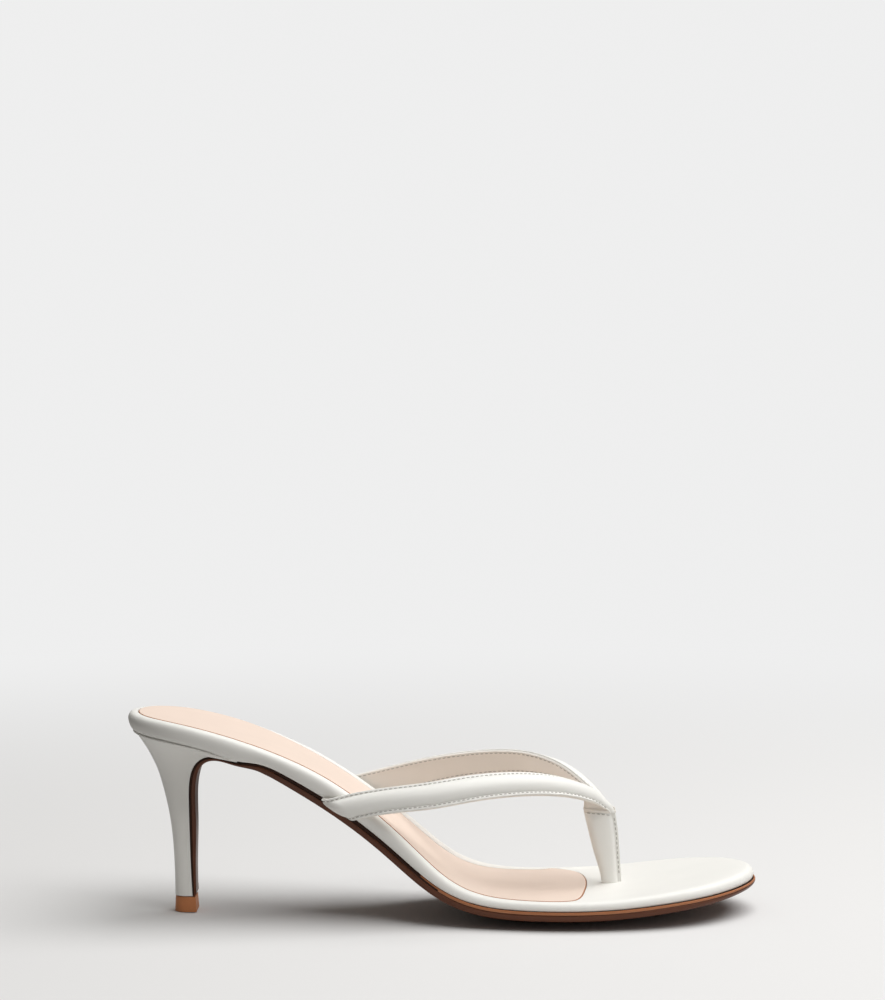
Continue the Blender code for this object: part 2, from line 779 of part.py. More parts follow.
def finish(piece):
    colour, roughness, metallic = FINISHES[piece.name]
    material = bpy.data.materials.new(f"{piece.name}_finish")
    material.use_nodes = True
    shader = material.node_tree.nodes["Principled BSDF"]
    shader.inputs["Base Color"].default_value = colour
    shader.inputs["Roughness"].default_value = roughness
    shader.inputs["Metallic"].default_value = metallic
    material.diffuse_color = colour
    piece.data.materials.append(material)


def stand_at_origin(pieces):
    """Centres the shoe over the world's origin with its sole on the floor."""
    bpy.context.view_layer.update()
    graph = bpy.context.evaluated_depsgraph_get()
    corners = [
        piece.matrix_world @ Vector(corner)
        for piece in pieces
        for corner in piece.evaluated_get(graph).bound_box
    ]
    middle = [(min(c[a] for c in corners) + max(c[a] for c in corners)) / 2 for a in range(2)]
    stand = bpy.data.objects.new("sandal", None)
    bpy.context.collection.objects.link(stand)
    for made in list(bpy.data.objects):
        if made is not stand:
            made.parent = stand
    stand.location = (-middle[0], -middle[1], 0.0)
    bpy.context.view_layer.update()


def main():
    for old in list(bpy.data.objects):
        bpy.data.objects.remove(old)
    pieces = [
        sole_form("outsole"),
        make_footbed(),
        make_sock(),
        heel_form("heel"),
        top_piece_form("top_piece"),
        make_upper(),
        make_post(),
    ]
    for piece in pieces:
        finish(piece)
    stand_at_origin(pieces)


main()
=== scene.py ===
"""Dresses the packed sandal: wrapped footbed, sock, sole, heel, straps, toe post and their stitching.

The tables are in millimetres from the back of the heel: +X to the toe, +Z up from the floor, and -Y the
foot's outer side.
"Along" is the distance from the back of the heel measured along the last.
"""

from itertools import product
from math import cos, pi, radians, sin

import bmesh
import bpy
import numpy as np
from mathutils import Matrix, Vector
from mathutils.bvhtree import BVHTree

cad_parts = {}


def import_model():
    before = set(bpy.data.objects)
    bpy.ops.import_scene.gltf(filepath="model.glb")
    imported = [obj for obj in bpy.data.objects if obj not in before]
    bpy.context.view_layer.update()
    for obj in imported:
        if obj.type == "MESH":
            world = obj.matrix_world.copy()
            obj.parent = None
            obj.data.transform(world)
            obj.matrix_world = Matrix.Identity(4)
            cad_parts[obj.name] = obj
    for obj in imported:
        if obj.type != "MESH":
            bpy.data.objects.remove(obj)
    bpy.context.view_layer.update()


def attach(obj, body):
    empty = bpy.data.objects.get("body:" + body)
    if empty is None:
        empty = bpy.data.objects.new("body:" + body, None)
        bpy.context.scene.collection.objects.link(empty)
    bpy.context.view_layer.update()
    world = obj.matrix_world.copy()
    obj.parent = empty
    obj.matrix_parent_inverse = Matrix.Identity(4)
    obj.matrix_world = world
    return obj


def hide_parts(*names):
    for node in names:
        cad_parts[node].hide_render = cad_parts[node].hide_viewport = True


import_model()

bl_info = {
    "name": "Heeled toe post sandal",
    "version": (1, 0, 0),
    "blender": (4, 5, 0),
    "location": "View3D > Sidebar > Sandal",
    "description": "Builds the finished pieces of a heeled toe post sandal around its packed solids",
    "category": "Add Mesh",
}

MM = 0.001
MIDDLE = (112.951, 1.084)  # x and y of the shoe's middle in the tables
GAP = 0.3  # between neighbouring solids
STATIONS = 150  # steps along each side of a plate
TURN_WEIGHT = 40.0  # how strongly stations crowd where an edge turns
EDGE_SAMPLES = 600  # of an edge, to place its stations by

# Rim line of the footbed, seen from the side: x forward, z up.
RIM_LINE = (
    (0.0, 73.1), (14.4, 71.8), (28.8, 68.9), (43.2, 64.6), (57.6, 59.1), (72.0, 51.9), (86.4, 42.2),
    (100.8, 30.3), (108.0, 23.8), (115.2, 18.0), (122.4, 14.1), (129.6, 12.0), (138.0, 10.9),
    (150.0, 10.4), (162.0, 10.4), (176.0, 11.0), (190.0, 12.35), (204.0, 13.9), (216.0, 15.15),
    (225.0, 16.0),
)

# Footbed outline from above: x, lateral edge, medial edge.
FOOTBED_SIDES = (
    (5.5, -14.8, 14.8), (14.4, -21.2, 21.0), (28.8, -24.6, 24.4), (45.0, -25.2, 24.6),
    (58.0, -24.8, 23.6), (72.0, -24.3, 22.5), (88.0, -25.2, 23.0), (102.0, -27.6, 25.2),
    (116.0, -30.8, 28.6), (130.0, -33.8, 31.6), (144.0, -36.0, 33.6), (158.0, -36.9, 35.4),
    (172.0, -35.7, 37.3), (186.0, -32.8, 38.8), (197.0, -28.8, 38.6), (207.0, -22.8, 36.2),
    (216.0, -13.8, 30.8),
)
FOOTBED_BACK = 0.4  # along: its rear end
TOE_TIP_Y = 7.5

# Footbed thickness and the shallow trough across the last: along, thickness, depth, middle y, half width.
LAST_FORM = (
    (0.0, 6.3, 0.0, 0.0, 25.0), (20.0, 6.9, 0.9, 0.0, 25.0), (38.0, 7.15, 0.5, 0.0, 25.0),
    (44.5, 7.1, 0.3, 0.0, 25.0), (51.0, 5.75, 0.0, 0.0, 25.0), (64.0, 5.8, 0.0, 0.0, 25.0),
    (74.0, 6.3, 0.0, 0.0, 26.0), (84.0, 6.3, 0.0, -0.3, 26.5), (100.0, 5.9, 0.0, -1.0, 28.0),
    (120.0, 5.1, 0.4, -1.0, 32.0), (140.0, 3.9, 1.0, -1.0, 37.0), (160.0, 3.45, 1.2, -0.5, 37.0),
    (185.0, 3.45, 1.2, 1.0, 37.0), (210.0, 3.9, 0.9, 4.0, 35.0), (243.0, 4.3, 0.0, 8.0, 32.0),
)

# Wrapped rim of the footbed in cross-section: inset from the outline, share of the thickness down.
RIM_BACK = (
    (2.6, 0.0), (1.3, 0.05), (0.45, 0.16), (0.0, 0.34), (0.1, 0.55), (0.6, 0.76), (1.3, 0.92), (2.4, 1.0),
)
RIM_FRONT = (
    (2.6, 0.0), (1.6, 0.06), (0.75, 0.18), (0.15, 0.4), (0.0, 0.62), (0.14, 0.8), (0.45, 0.94), (1.3, 1.0),
)
RIM_CHANGE = (98.0, 138.0)  # along: between these the section changes from the first to the second
RIM_RINGS = 20
RIM_SCALE = 5.0  # millimetres that the whole thickness counts as where the section is smoothed
TOP_RINGS = (1.0, 0.9, 0.75, 0.6, 0.45, 0.3, 0.18, 0.08)  # share of the way in from the rim to the sock

# The medial rim's padded roll: along, its crest over the rim line, how far the sock lies below it.
MEDIAL_ROLL = (
    (0.0, 0.0, 0.0), (45.0, 0.0, 0.1), (62.0, 0.0, 0.75), (85.0, 0.0, 1.15), (105.0, 0.25, 1.2),
    (122.0, 0.75, 1.1), (142.0, 0.65, 1.0), (158.0, 0.25, 0.75), (175.0, 0.15, 0.55), (200.0, 0.0, 0.2),
    (243.0, 0.0, 0.0),
)
ROLL_FLANK = (1.1, 3.4)  # from the footbed's edge: where the roll's inner flank starts and ends
ROLL_FADE = (-14.0, 12.0)  # y: across here the sock sinks to its level beside the roll
ROLL_RISE = (0.0, 10.0)  # y: across here the crest comes up

SOCK_INSET = 3.0
SOCK_BACK = (0.8, 18.0)  # how much more at its back, and over what length that fades
# Front edge of the sock from above, from the lateral corner across to the medial side.
SOCK_FRONT = (
    (154.0, -33.8), (159.6, -31.8), (162.5, -25.0), (164.0, -12.0), (164.9, 2.0), (165.0, 11.0),
    (164.2, 20.0), (161.9, 27.2), (157.9, 31.2), (152.0, 32.2),
)
SOCK_FRONT_MIDDLE = 4  # the foremost of those points
SOCK_JOIN = 2.0  # how far short of its front edge its sides stop following the footbed
# Inset from the outline and height: the sock's edge, and the recess that it lies in.
SOCK_SECTION = ((0.75, 0.2), (0.3, 0.17), (0.08, 0.06), (0.0, -0.12), (0.0, -0.7))
SOCK_RAW = (1, 2, 3)  # the strips of it that show the raw edge
SOCK_RECESS = ((0.5, -0.9), (-0.08, -0.8), (-0.16, -0.16))
RECESS_EDGE = -0.22

# Inner face of the sole flap on the heel breast, from its foot up and over the arch: x, z.
BREAST_LINE = (
    (23.6, 5.8), (23.0, 19.0), (22.7, 32.0), (22.6, 42.0), (23.2, 49.5), (25.0, 54.0), (28.6, 56.9),
    (34.0, 57.5), (40.0, 56.4),
)
SOLE_JOIN = 54.0  # along: from here forward the sole follows the footbed's underside
SOLE_STEP = 6.0  # between the points of its side view
SOLE_BLEND = 4.0  # length over which its outline passes from the flap to the footbed

# Sole: along, thickness, and how far its edge stands out from the footbed's outline.
SOLE_FORM = (
    (54.0, 3.1, -4.0), (64.0, 3.35, -4.0), (80.0, 3.6, -3.8), (100.0, 3.6, -3.6), (115.0, 3.4, -2.4),
    (130.0, 3.2, -0.6), (145.0, 3.1, 0.3), (165.0, 3.1, 0.35), (200.0, 3.0, 0.45), (225.0, 2.6, 0.5),
    (243.0, 1.7, 0.55),
)
SOLE_EDGE_START = 122.0  # along: from here forward the upper edge of the sole carries its pale stripe
SOLE_STRIPE_GROWTH = 16.0  # length over which the stripe reaches its full width
SOLE_PAINTED_SHADE = ((54.0, 60.0, 96.0, 122.0), (5.0, 7.0, 7.0, 3.0))  # along, and how many strips of the edge are painted dark behind the stripe's start, as painted shade under the rim's overhang
# Sole's edge in cross-section: inset from the outline, share of the thickness, share of the belly.
SOLE_SECTION = (
    (0.5, -0.09, 0.0), (0.1, -0.06, 0.0), (-0.02, 0.08, 0.0), (0.02, 0.24, 0.0), (0.16, 0.27, 0.0),
    (0.2, 0.3, 0.0), (0.08, 0.33, 0.0), (0.04, 0.4, 0.0), (0.1, 0.52, 0.0), (0.25, 0.67, 0.0),
    (0.48, 0.83, 0.0), (0.75, 0.94, 0.0), (1.1, 1.0, 0.0), (3.2, 1.0, 0.15),
)
SOLE_GROOVE_END = 5  # strips of it down to the foot of the groove under the stripe
# Flap on the breast: share of the way from its foot to the join, thickness, half width.
FLAP_FORM = (
    (0.0, 1.1, 4.9), (0.18, 1.6, 5.1), (0.36, 2.1, 5.6), (0.5, 2.0, 6.6), (0.6, 2.1, 8.0),
    (0.69, 1.7, 11.0), (0.78, 1.25, 15.0), (0.87, 1.3, 18.2), (0.94, 2.2, 19.4), (1.0, 3.15, 20.2),
)
SOLE_BELLY = ((112.0, 150.0, 190.0, 243.0), (0.0, 2.6, 2.6, 0.2))  # along, its middle's extra depth
FLAP_STEPS = 56

# Heel block, a row for each section: back x, back z, how far up the flap its front edge lies.
HEEL_SECTIONS = (
    (16.8, 5.8, 0.0), (16.5, 18.0, 0.17), (15.6, 30.0, 0.33), (14.0, 39.5, 0.46), (12.0, 47.5, 0.555),
    (10.7, 51.6, 0.615), (9.5, 54.4, 0.66), (8.3, 56.9, 0.7), (7.1, 59.2, 0.74), (5.7, 61.5, 0.79),
    (4.1, 64.0, 0.87),
)
HEEL_TOP_INSET = ((0.0, 12.0, 33.0, 44.0), (2.3, 1.8, 1.8, 4.3))  # along, how far under the rim it lies
HEEL_TOP_FRONT = 44.0  # along: the covering's upper edge ends here
HEEL_TOP_SPARE = 12.0  # how much further that edge is followed to fit its end
HEEL_TOP_SINK = 0.05  # how far it reaches up into the footbed
HEEL_STATIONS = 56
HEEL_RINGS = 90
HEEL_CROWDING = 1.6  # how strongly its stations crowd towards the back
HEEL_FULLNESS = 2.6  # of its rounded back in plan, where 2 is an ellipse
HEEL_WIDEST = 0.75  # share of the way forward where it reaches its full width
HEEL_BEAD = 0.34  # radius of the roll along the upper edge of its covering
HEEL_BEAD_DROP = 0.42  # from that edge down to the middle of the roll
HEEL_BEAD_END = (0.25, 5.0)  # share of its radius at either end, and over what length it grows
HEEL_BEAD_STEPS = (180, 10)  # along it, round it

TOP_PIECE_HEIGHT = 5.5
# At its foot and at its top: x of its back, x of its front, half width.
TOP_PIECE_BACK = (16.6, 16.9)
TOP_PIECE_FRONT = (24.8, 24.4)
TOP_PIECE_HALF = (5.2, 4.9)
# Height, and how far its edge is taken in there.
TOP_PIECE_SECTION = (
    (0.0, 0.16), (0.06, 0.05), (0.18, 0.0), (2.0, 0.0), (4.0, 0.0), (5.2, 0.0), (5.42, 0.08), (5.5, 0.25),
)

# Middle of each strap's lining from its tuck to the post: x, y, z, lean of its face above level, size.
LATERAL_STRAP = (
    (72.0, -25.0, 39.9, 0.0, 0.88), (78.0, -25.1, 41.2, 5.0, 0.89), (84.0, -25.7, 42.4, 18.0, 0.91),
    (95.0, -26.4, 44.2, 34.0, 0.96), (109.0, -25.9, 45.8, 38.0, 1.0), (123.0, -22.4, 47.7, 41.0, 0.99),
    (137.5, -16.0, 48.3, 45.0, 0.98), (150.0, -8.3, 47.0, 50.0, 0.96), (160.0, -1.0, 44.2, 54.0, 0.9),
    (167.0, 3.9, 40.9, 56.0, 0.74), (171.0, 5.9, 38.3, 52.0, 0.46), (173.3, 6.6, 36.5, 42.0, 0.3),
    (174.4, 7.0, 34.0, 40.0, 0.24),
)
MEDIAL_STRAP = (
    (73.5, 23.2, 38.9, 0.0, 0.92), (79.5, 23.3, 40.3, 2.0, 0.93), (86.0, 24.2, 41.7, 8.0, 0.96),
    (99.0, 25.4, 44.8, 17.0, 1.0), (114.0, 25.9, 48.1, 26.0, 1.0), (128.5, 24.9, 50.1, 31.0, 1.0),
    (141.0, 22.0, 50.7, 36.0, 1.0), (150.0, 18.6, 49.7, 44.0, 1.0), (157.5, 15.0, 47.3, 51.0, 0.96),
    (163.5, 12.0, 43.6, 56.0, 0.86), (168.2, 10.1, 40.1, 56.0, 0.66), (171.4, 9.3, 37.6, 50.0, 0.44),
    (173.4, 8.8, 36.1, 42.0, 0.3), (174.4, 8.4, 34.0, 40.0, 0.24),
)
STRAP_RINGS = 240
PAD_HALF = 3.9  # half width of a strap's padding
PAD_RELIEF = 2.4  # its height over the flanges
PAD_CROWN = (2.2, 0.75)  # powers that round it off across its width
PAD_POINTS = 45
LINING_HALF = 4.4  # half width of the flat of its lining
LINING_POINTS = 11
SEAM_ACROSS = 4.35  # from a strap's middle to the stitches on its flanges
SEAM_END = 0.965  # share of the strap's length where they stop
SEAM_SAMPLES = 400  # of a seam, to space its stitches by
SEAM_IN_SIGHT = (0.2, 0.6)  # how near the cut strap's surface a stitch lies, and how squarely on it
STITCH_BOW = (0.75, 0.35)  # in radii: how far its middle rises, and how deep it is pulled in
STITCH_TAPER = (0.25, 0.35)  # least share of its radius, and the power that it thins by
STITCH_STEPS = (7, 8)  # along it, round it
# A strap's flange in cross-section, from the foot of the padding round its folded edge: across, height.
FLANGE_EDGE = (
    (4.02, 1.52), (4.2, 1.5), (4.5, 1.54), (4.85, 1.58), (5.06, 1.53), (5.17, 1.4), (5.2, 1.22),
    (5.15, 1.04), (5.04, 0.93), (4.97, 0.86), (5.03, 0.78), (5.08, 0.62), (5.08, 0.2), (5.02, 0.06),
    (4.88, 0.0),
)
FLANGE_FOLD = 9  # the point of it where the lining's own edge begins
TUCK_TURN = 2.0  # radius of the footbed's lower edge as a strap rolls around it
TUCK_MIDDLE = 0.9  # height in the strap that keeps its length in the roll
TUCK_SKIVE = (4.5, 0.55)  # length over which the tucked end gets thinner, and the share it loses
TUCK_SPAN = (58.0, 112.0)  # along: the stretch of the sole's edge that the tucked ends stop at
TUCK_ROOM = (1.0, -8.0)  # heights over the sole's inner face between which they stop there
ROOM = 0.05  # between the straps and the pieces that they are cut to

# Toe post, a row for each level: z, rear x, front x, half thickness.
POST_FORM = (
    (6.8, 170.8, 177.8, 2.0), (12.0, 170.1, 177.6, 2.05), (20.0, 167.8, 177.0, 2.2),
    (28.0, 165.7, 176.4, 2.4), (36.0, 163.8, 175.2, 2.5),
)
POST_LEVELS = 40
POST_TURN = 12  # steps round its rear
POST_ROUND = (3.0, 0.8)  # depth of its rounded rear, and the power that fills it out
POST_Y = 7.6
POST_SEAM_Z = 35.0
POST_HEAD_SPARE = 1.0  # how far the head reaches below the seam before it is cut
POST_HEAD_TOP = (41.2, 36.8)  # z of the head inside the straps, over the post's rear and over its front
POST_FLANGE = (1.4, 0.55)  # depth, half thickness
POST_FOOT_Z = 8.0
POST_SEWN = (12.5, 33.5)  # z of the ends of the seam on the flange
POST_SEWN_INSET = 0.75  # from the flange's front edge
POST_ROW = (1.7, 2.2)  # ends of the row under the folded end, from the post's rear and front
POST_ROW_DROP = 0.8
POST_ROW_SLOPE = -0.12
POST_FOLD_RISE = 1.0  # of the folded end's rear over its front
# The folded end in cross-section: height over the seam, and how far it stands out of the post.
POST_FOLD = ((-0.1, 0.0), (-0.03, 0.12), (0.2, 0.2), (0.6, 0.22), (0.85, 0.16), (0.95, 0.0))
POST_FOLD_CLEAR = 0.02  # keeps it off the post's faces
UNDER_SEAM = ((150.0, -10.0, 0.0), (190.0, 30.0, POST_SEAM_Z + ROOM))  # corners of the visible post's room

# Colour in the sidebar, how light and how deep its two tones are, roughness, grain cells per millimetre,
# their depth in millimetres, the height of the slow swells among them, specular level.
FINISHES = {
    "ivory_leather": ("ivory", 1.0, 0.96, 0.46, 2.6, 0.012, 0.3, 0.4),
    "strap_lining": ("lining", 1.0, 0.95, 0.5, 3.0, 0.012, 0.3, 0.5),
    "nude_leather": ("nude", 1.0, 0.94, 0.55, 2.4, 0.02, 0.5, 0.5),
    "raw_edge": ("raw_edge", 1.0, 0.8, 0.7, 3.5, 0.03, 0.3, 0.5),
    "sole_leather": ("sole", 1.0, 0.72, 0.28, 1.6, 0.008, 0.6, 0.25),
    "sole_edge": ("edge", 1.0, 0.8, 0.4, 1.6, 0.02, 0.6, 0.5),
    # the sole's colour taken darker: painted shade in the groove under the stripe and under the rim's
    # overhang in the waist
    "sole_groove": ("sole", 0.3, 0.22, 0.5, 1.6, 0.01, 0.6, 0.2),
    "top_piece_rubber": ("top_piece", 1.0, 0.85, 0.45, 3.0, 0.02, 0.3, 0.5),
    "thread": ("thread", 1.0, 0.9, 0.6, 6.0, 0.05, 0.3, 0.5),
}
GLOSS = (-0.06, 0.08)  # how much smoother the grain's hollows and rougher its tops are

# Degrees: edges that turn more than this are sharp, on most pieces, on flat-edged ones and on round ones.
SMOOTH = 40.0
SMOOTH_EDGES = 60.0
SMOOTH_ROUND = 80.0

# Stage, in metres and degrees.
FLOOR_SIZE = 12.0
FLOOR_DROP = 0.0002  # keeps it clear of the sole
FLOOR_FADE = (0.15, 0.75)  # from its middle: its paint gives way to the backdrop's colour
BOUNCE_FADE = (0.14, 0.25)  # from its middle: the light it throws back gets dimmer
# Lights: place, target, size.
TOP_LIGHT = ((0.55, -0.02, 1.3), (0.0, 0.0, 0.0), (1.9, 1.4))
FRONT_LIGHT = ((1.5, -1.3, 0.8), (0.0, 0.0, 0.02), (1.0, 1.0))
CAMERA_PLACE = (0.04366, -1.38339, 0.27407)
CAMERA_TURN = (84.823, 0.0, 1.8)


class Curve:
    """A natural cubic spline; its parameter is the chord length unless one is given."""

    def __init__(self, points, at=None):
        self.points = np.array(points, dtype=float)
        if at is None:
            steps = np.linalg.norm(np.diff(self.points, axis=0), axis=1)
            at = np.concatenate(([0.0], np.cumsum(steps)))
        self.at = np.array(at, dtype=float)
        gaps = np.diff(self.at)
        rises = np.diff(self.points, axis=0) / gaps[:, None]
        system = np.eye(len(self.at))
        turns = np.zeros_like(self.points)
        for i in range(1, len(gaps)):
            system[i, i - 1 : i + 2] = gaps[i - 1], 2 * (gaps[i - 1] + gaps[i]), gaps[i]
            turns[i] = 6 * (rises[i] - rises[i - 1])
        self.bends = np.linalg.solve(system, turns)

    def _span(self, t):
        """The stretch of the curve at t: its number, its length and the share of it still ahead."""
        i = int(np.clip(np.searchsorted(self.at, t) - 1, 0, len(self.at) - 2))
        gap = self.at[i + 1] - self.at[i]
        return i, gap, (self.at[i + 1] - t) / gap

    def point(self, t):
        i, gap, a = self._span(t)
        b = 1 - a
        line = a * self.points[i] + b * self.points[i + 1]
        curl = (a**3 - a) * self.bends[i] + (b**3 - b) * self.bends[i + 1]
        return line + curl * gap * gap / 6

    def tangent(self, t):
        i, gap, a = self._span(t)
        b = 1 - a
        line = (self.points[i + 1] - self.points[i]) / gap
        curl = (3 * b * b - 1) * self.bends[i + 1] - (3 * a * a - 1) * self.bends[i]
        way = line + curl * gap / 6
        return way / np.linalg.norm(way)


def table(rows):
    """Columns after the first, as smooth functions of the first."""
    rows = np.array(rows, dtype=float)
    return Curve(rows[:, 1:], rows[:, 0])


LAST = Curve(RIM_LINE)
LAST_SPOTS = np.linspace(0.0, LAST.at[-1], 500)
LAST_POINTS = np.array([LAST.point(s) for s in LAST_SPOTS])
FORM = table(LAST_FORM)
ROLL = table(MEDIAL_ROLL)
SIDES = table(FOOTBED_SIDES)
SOLE = table(SOLE_FORM)
POST = table(POST_FORM)


def along_at(x):
    """Distance along the last at a distance forward."""
    return float(np.interp(x, LAST_POINTS[:, 0], LAST_SPOTS))


def nearest_along(x, z):
    """Distance along the last where its rim line passes nearest a point in side view."""
    offset = np.array((x, z)) - LAST_POINTS
    nearest = int(np.argmin(np.linalg.norm(offset, axis=1)))
    return float(LAST_SPOTS[nearest] + offset[nearest] @ LAST.tangent(LAST_SPOTS[nearest]))


def thickness(along):
    """Of the footbed at its rim."""
    return FORM.point(along)[0]


def trough(along, y):
    """How far the last dips below its rim line."""
    _, depth, middle, half = FORM.point(along)
    return max(depth, 0.0) * max(0.0, 1 - ((y - middle) / half) ** 2)


def raised(curve, t, y, height):
    """A point at a height over a side-view curve, square to it."""
    x, z = curve.point(t)
    way_x, way_z = curve.tangent(t)
    return Vector((x - way_z * height, y, z + way_x * height))


def on_last(along, y, height):
    """A point at a height over the footbed's rim line, with the trough taken off."""
    return raised(LAST, along, y, height - trough(along, y))


def eased(value, low, high):
    """0 below low, 1 above high and smooth between them."""
    share = min(max((value - low) / (high - low), 0.0), 1.0)
    return share * share * (3 - 2 * share)


def lie(along, y):
    """How far the padded top stands over the rim line: up on the medial roll, and down beside it."""
    crest, sink = (max(amount, 0.0) for amount in ROLL.point(along))
    inset = SIDES.point(LAST.point(along)[0])[1] - y
    flank = eased(inset, *ROLL_FLANK)
    return crest * (1 - flank) * eased(y, *ROLL_RISE) - sink * flank * eased(y, *ROLL_FADE)


def sole_path():
    """Side view of the sole's inner face: the breast and the arch, then the footbed's underside."""
    stops = np.arange(SOLE_JOIN, LAST.at[-1] + SOLE_STEP, SOLE_STEP)
    under = [raised(LAST, s, 0.0, -thickness(s) - GAP) for s in stops]
    points = list(BREAST_LINE) + [(p.x, p.z) for p in under]
    breast = np.array(points[: len(BREAST_LINE) + 1])
    steps = np.linalg.norm(np.diff(breast, axis=0), axis=1)
    start = SOLE_JOIN - steps.sum()
    at = np.concatenate(([start], start + np.cumsum(steps)))
    at = np.concatenate((at, stops[1:]))
    return Curve(points, at)


SOLE_PATH = sole_path()
SOLE_START = float(SOLE_PATH.at[0])
FLAP = table([(SOLE_START + share * (SOLE_JOIN - SOLE_START), *rest) for share, *rest in FLAP_FORM])


def on_sole(along, y, height):
    """A point at a height over the sole's inner face, kept on or above the floor."""
    dip = trough(along, y) if along > SOLE_JOIN else 0.0
    point = raised(SOLE_PATH, along, y, height - dip)
    point.z = max(point.z, 0.0)
    return point


def sole_thickness(along):
    """Of the sole at its edge, or of its flap on the breast."""
    return SOLE.point(along)[0] if along >= SOLE_JOIN else FLAP.point(along)[0]


class Outline:
    """A plate's outline on the flat, as matching left and right points with their outward normals."""

    def __init__(self, left, right, start_open=False, end_open=False):
        self.left = np.array(left, dtype=float)
        self.right = np.array(right, dtype=float)
        self.start_open = start_open
        self.end_open = end_open
        self.steps = len(self.left) - 1
        loop = np.concatenate((self.left, self.right[::-1]))
        keep = np.ones(len(loop), dtype=bool)
        if not end_open:
            keep[len(self.left)] = False
        if not start_open:
            keep[-1] = False
        points = loop[keep]
        way = np.roll(points, -1, axis=0) - np.roll(points, 1, axis=0)
        outward = np.stack((way[:, 1], -way[:, 0]), axis=1)
        outward /= np.linalg.norm(outward, axis=1)[:, None]
        area = np.sum(points[:, 0] * np.roll(points[:, 1], -1) - points[:, 1] * np.roll(points[:, 0], -1))
        full = np.empty_like(loop)
        full[keep] = outward * np.sign(area)
        if not end_open:
            full[len(self.left)] = full[len(self.left) - 1]
        if not start_open:
            full[-1] = full[0]
        self.left_out = full[: len(self.left)]
        self.right_out = full[len(self.left) :][::-1]

    def spot(self, station, share, inset=0.0):
        """A point on the flat: share 0 is the left edge, 1 the right."""
        left = self.left[station] - self.left_out[station] * inset
        right = self.right[station] - self.right_out[station] * inset
        return left + (right - left) * share

    def grown(self, amount):
        """The same outline moved out."""
        left = self.left + self.left_out * amount
        right = self.right + self.right_out * amount
        return Outline(left, right, self.start_open, self.end_open)


def evenly_turned(curve, start, end, steps):
    """Points along a flat curve, closer together where the bent edge turns."""
    spots = np.linspace(start, end, EDGE_SAMPLES)
    flat = np.array([curve.point(t) for t in spots])
    edge = np.array([on_last(s, y, 0.0) for s, y in flat])
    runs = np.diff(edge, axis=0)
    lengths = np.linalg.norm(runs, axis=1)
    ways = runs / lengths[:, None]
    turns = np.concatenate(([0.0], np.linalg.norm(np.diff(ways, axis=0), axis=1)))
    effort = np.concatenate(([0.0], np.cumsum(lengths + TURN_WEIGHT * turns)))
    return [curve.point(np.interp(effort[-1] * k / steps, effort, spots)) for k in range(steps + 1)]


def footbed_outline():
    """Round the footbed from its back, down each side to the tip of the toe."""
    lateral = [(along_at(x), y) for x, y, _ in FOOTBED_SIDES]
    medial = [(along_at(x), y) for x, _, y in FOOTBED_SIDES]
    loop = [(FOOTBED_BACK, 0.0), *lateral, (float(LAST.at[-1]), TOE_TIP_Y), *medial[::-1]]
    wrapped = Curve(loop[-3:] + loop + loop[:3])
    start, tip, end = (wrapped.at[i] for i in (3, 4 + len(lateral), 3 + len(loop)))
    return Outline(
        evenly_turned(wrapped, start, tip, STATIONS), evenly_turned(wrapped, end, tip, STATIONS)
    )


FOOTBED = footbed_outline()
RIM = [Curve([(inset, share * RIM_SCALE) for inset, share in rows]) for rows in (RIM_BACK, RIM_FRONT)]


def rim_form(station, stop):
    """Inset and share of the thickness at a stop between 0 and 1 round the rim's cross-section."""
    mix = eased(FOOTBED.left[station][0], *RIM_CHANGE)
    back, front = (curve.point(curve.at[-1] * stop) for curve in RIM)
    inset, drop = back * (1 - mix) + front * mix
    return inset, drop / RIM_SCALE


def rim_spot(station, share, stop, out=0.0):
    """A point on the wrapped rim at a stop round its cross-section, or a little way out from it."""
    inset, down = rim_form(station, stop)
    along, y = FOOTBED.spot(station, share, inset - out)
    return on_last(along, y, out + lie(along, y) * (1 - down) - down * (thickness(along) + 2 * out))


def sock_outline():
    """The footbed's outline moved in, then across the sock's own front, station by station."""
    inner = FOOTBED.grown(-SOCK_INSET)
    more, reach = SOCK_BACK
    for side in (inner.left, inner.right):
        side[:, 0] += more * np.clip(1 - side[:, 0] / reach, 0.0, 1.0) ** 2
    front = [(along_at(x), y) for x, y in SOCK_FRONT]
    halves = []
    for side, edge in (
        (inner.left, front[: SOCK_FRONT_MIDDLE + 1]),
        (inner.right, front[: SOCK_FRONT_MIDDLE - 1 : -1]),
    ):
        shown = [tuple(p) for p in side if p[0] < edge[0][0] - SOCK_JOIN]
        line = Curve(shown + edge)
        kept = len(shown)
        start = line.at[kept - 1]
        rest = STATIONS + 1 - kept
        ahead = [line.point(start + (line.at[-1] - start) * k / rest) for k in range(1, rest + 1)]
        halves.append(shown + ahead)
    return Outline(*halves)


SOCK = sock_outline()


def world(point):
    """Metres in the frame from millimetres in the tables."""
    return Vector(((point[0] - MIDDLE[0]) * MM, (point[1] - MIDDLE[1]) * MM, point[2] * MM))


def around(steps, lanes, start_open, end_open):
    """A ring's points in order, each as (station, share across)."""
    ring = [(i, 0.0) for i in range(steps + 1)]
    if end_open:
        ring += [(steps, lane / lanes) for lane in range(1, lanes)]
    ring += [(i, 1.0) for i in range(steps if end_open else steps - 1, -1 if start_open else 0, -1)]
    if start_open:
        ring += [(0, lane / lanes) for lane in range(lanes - 1, 0, -1)]
    return ring


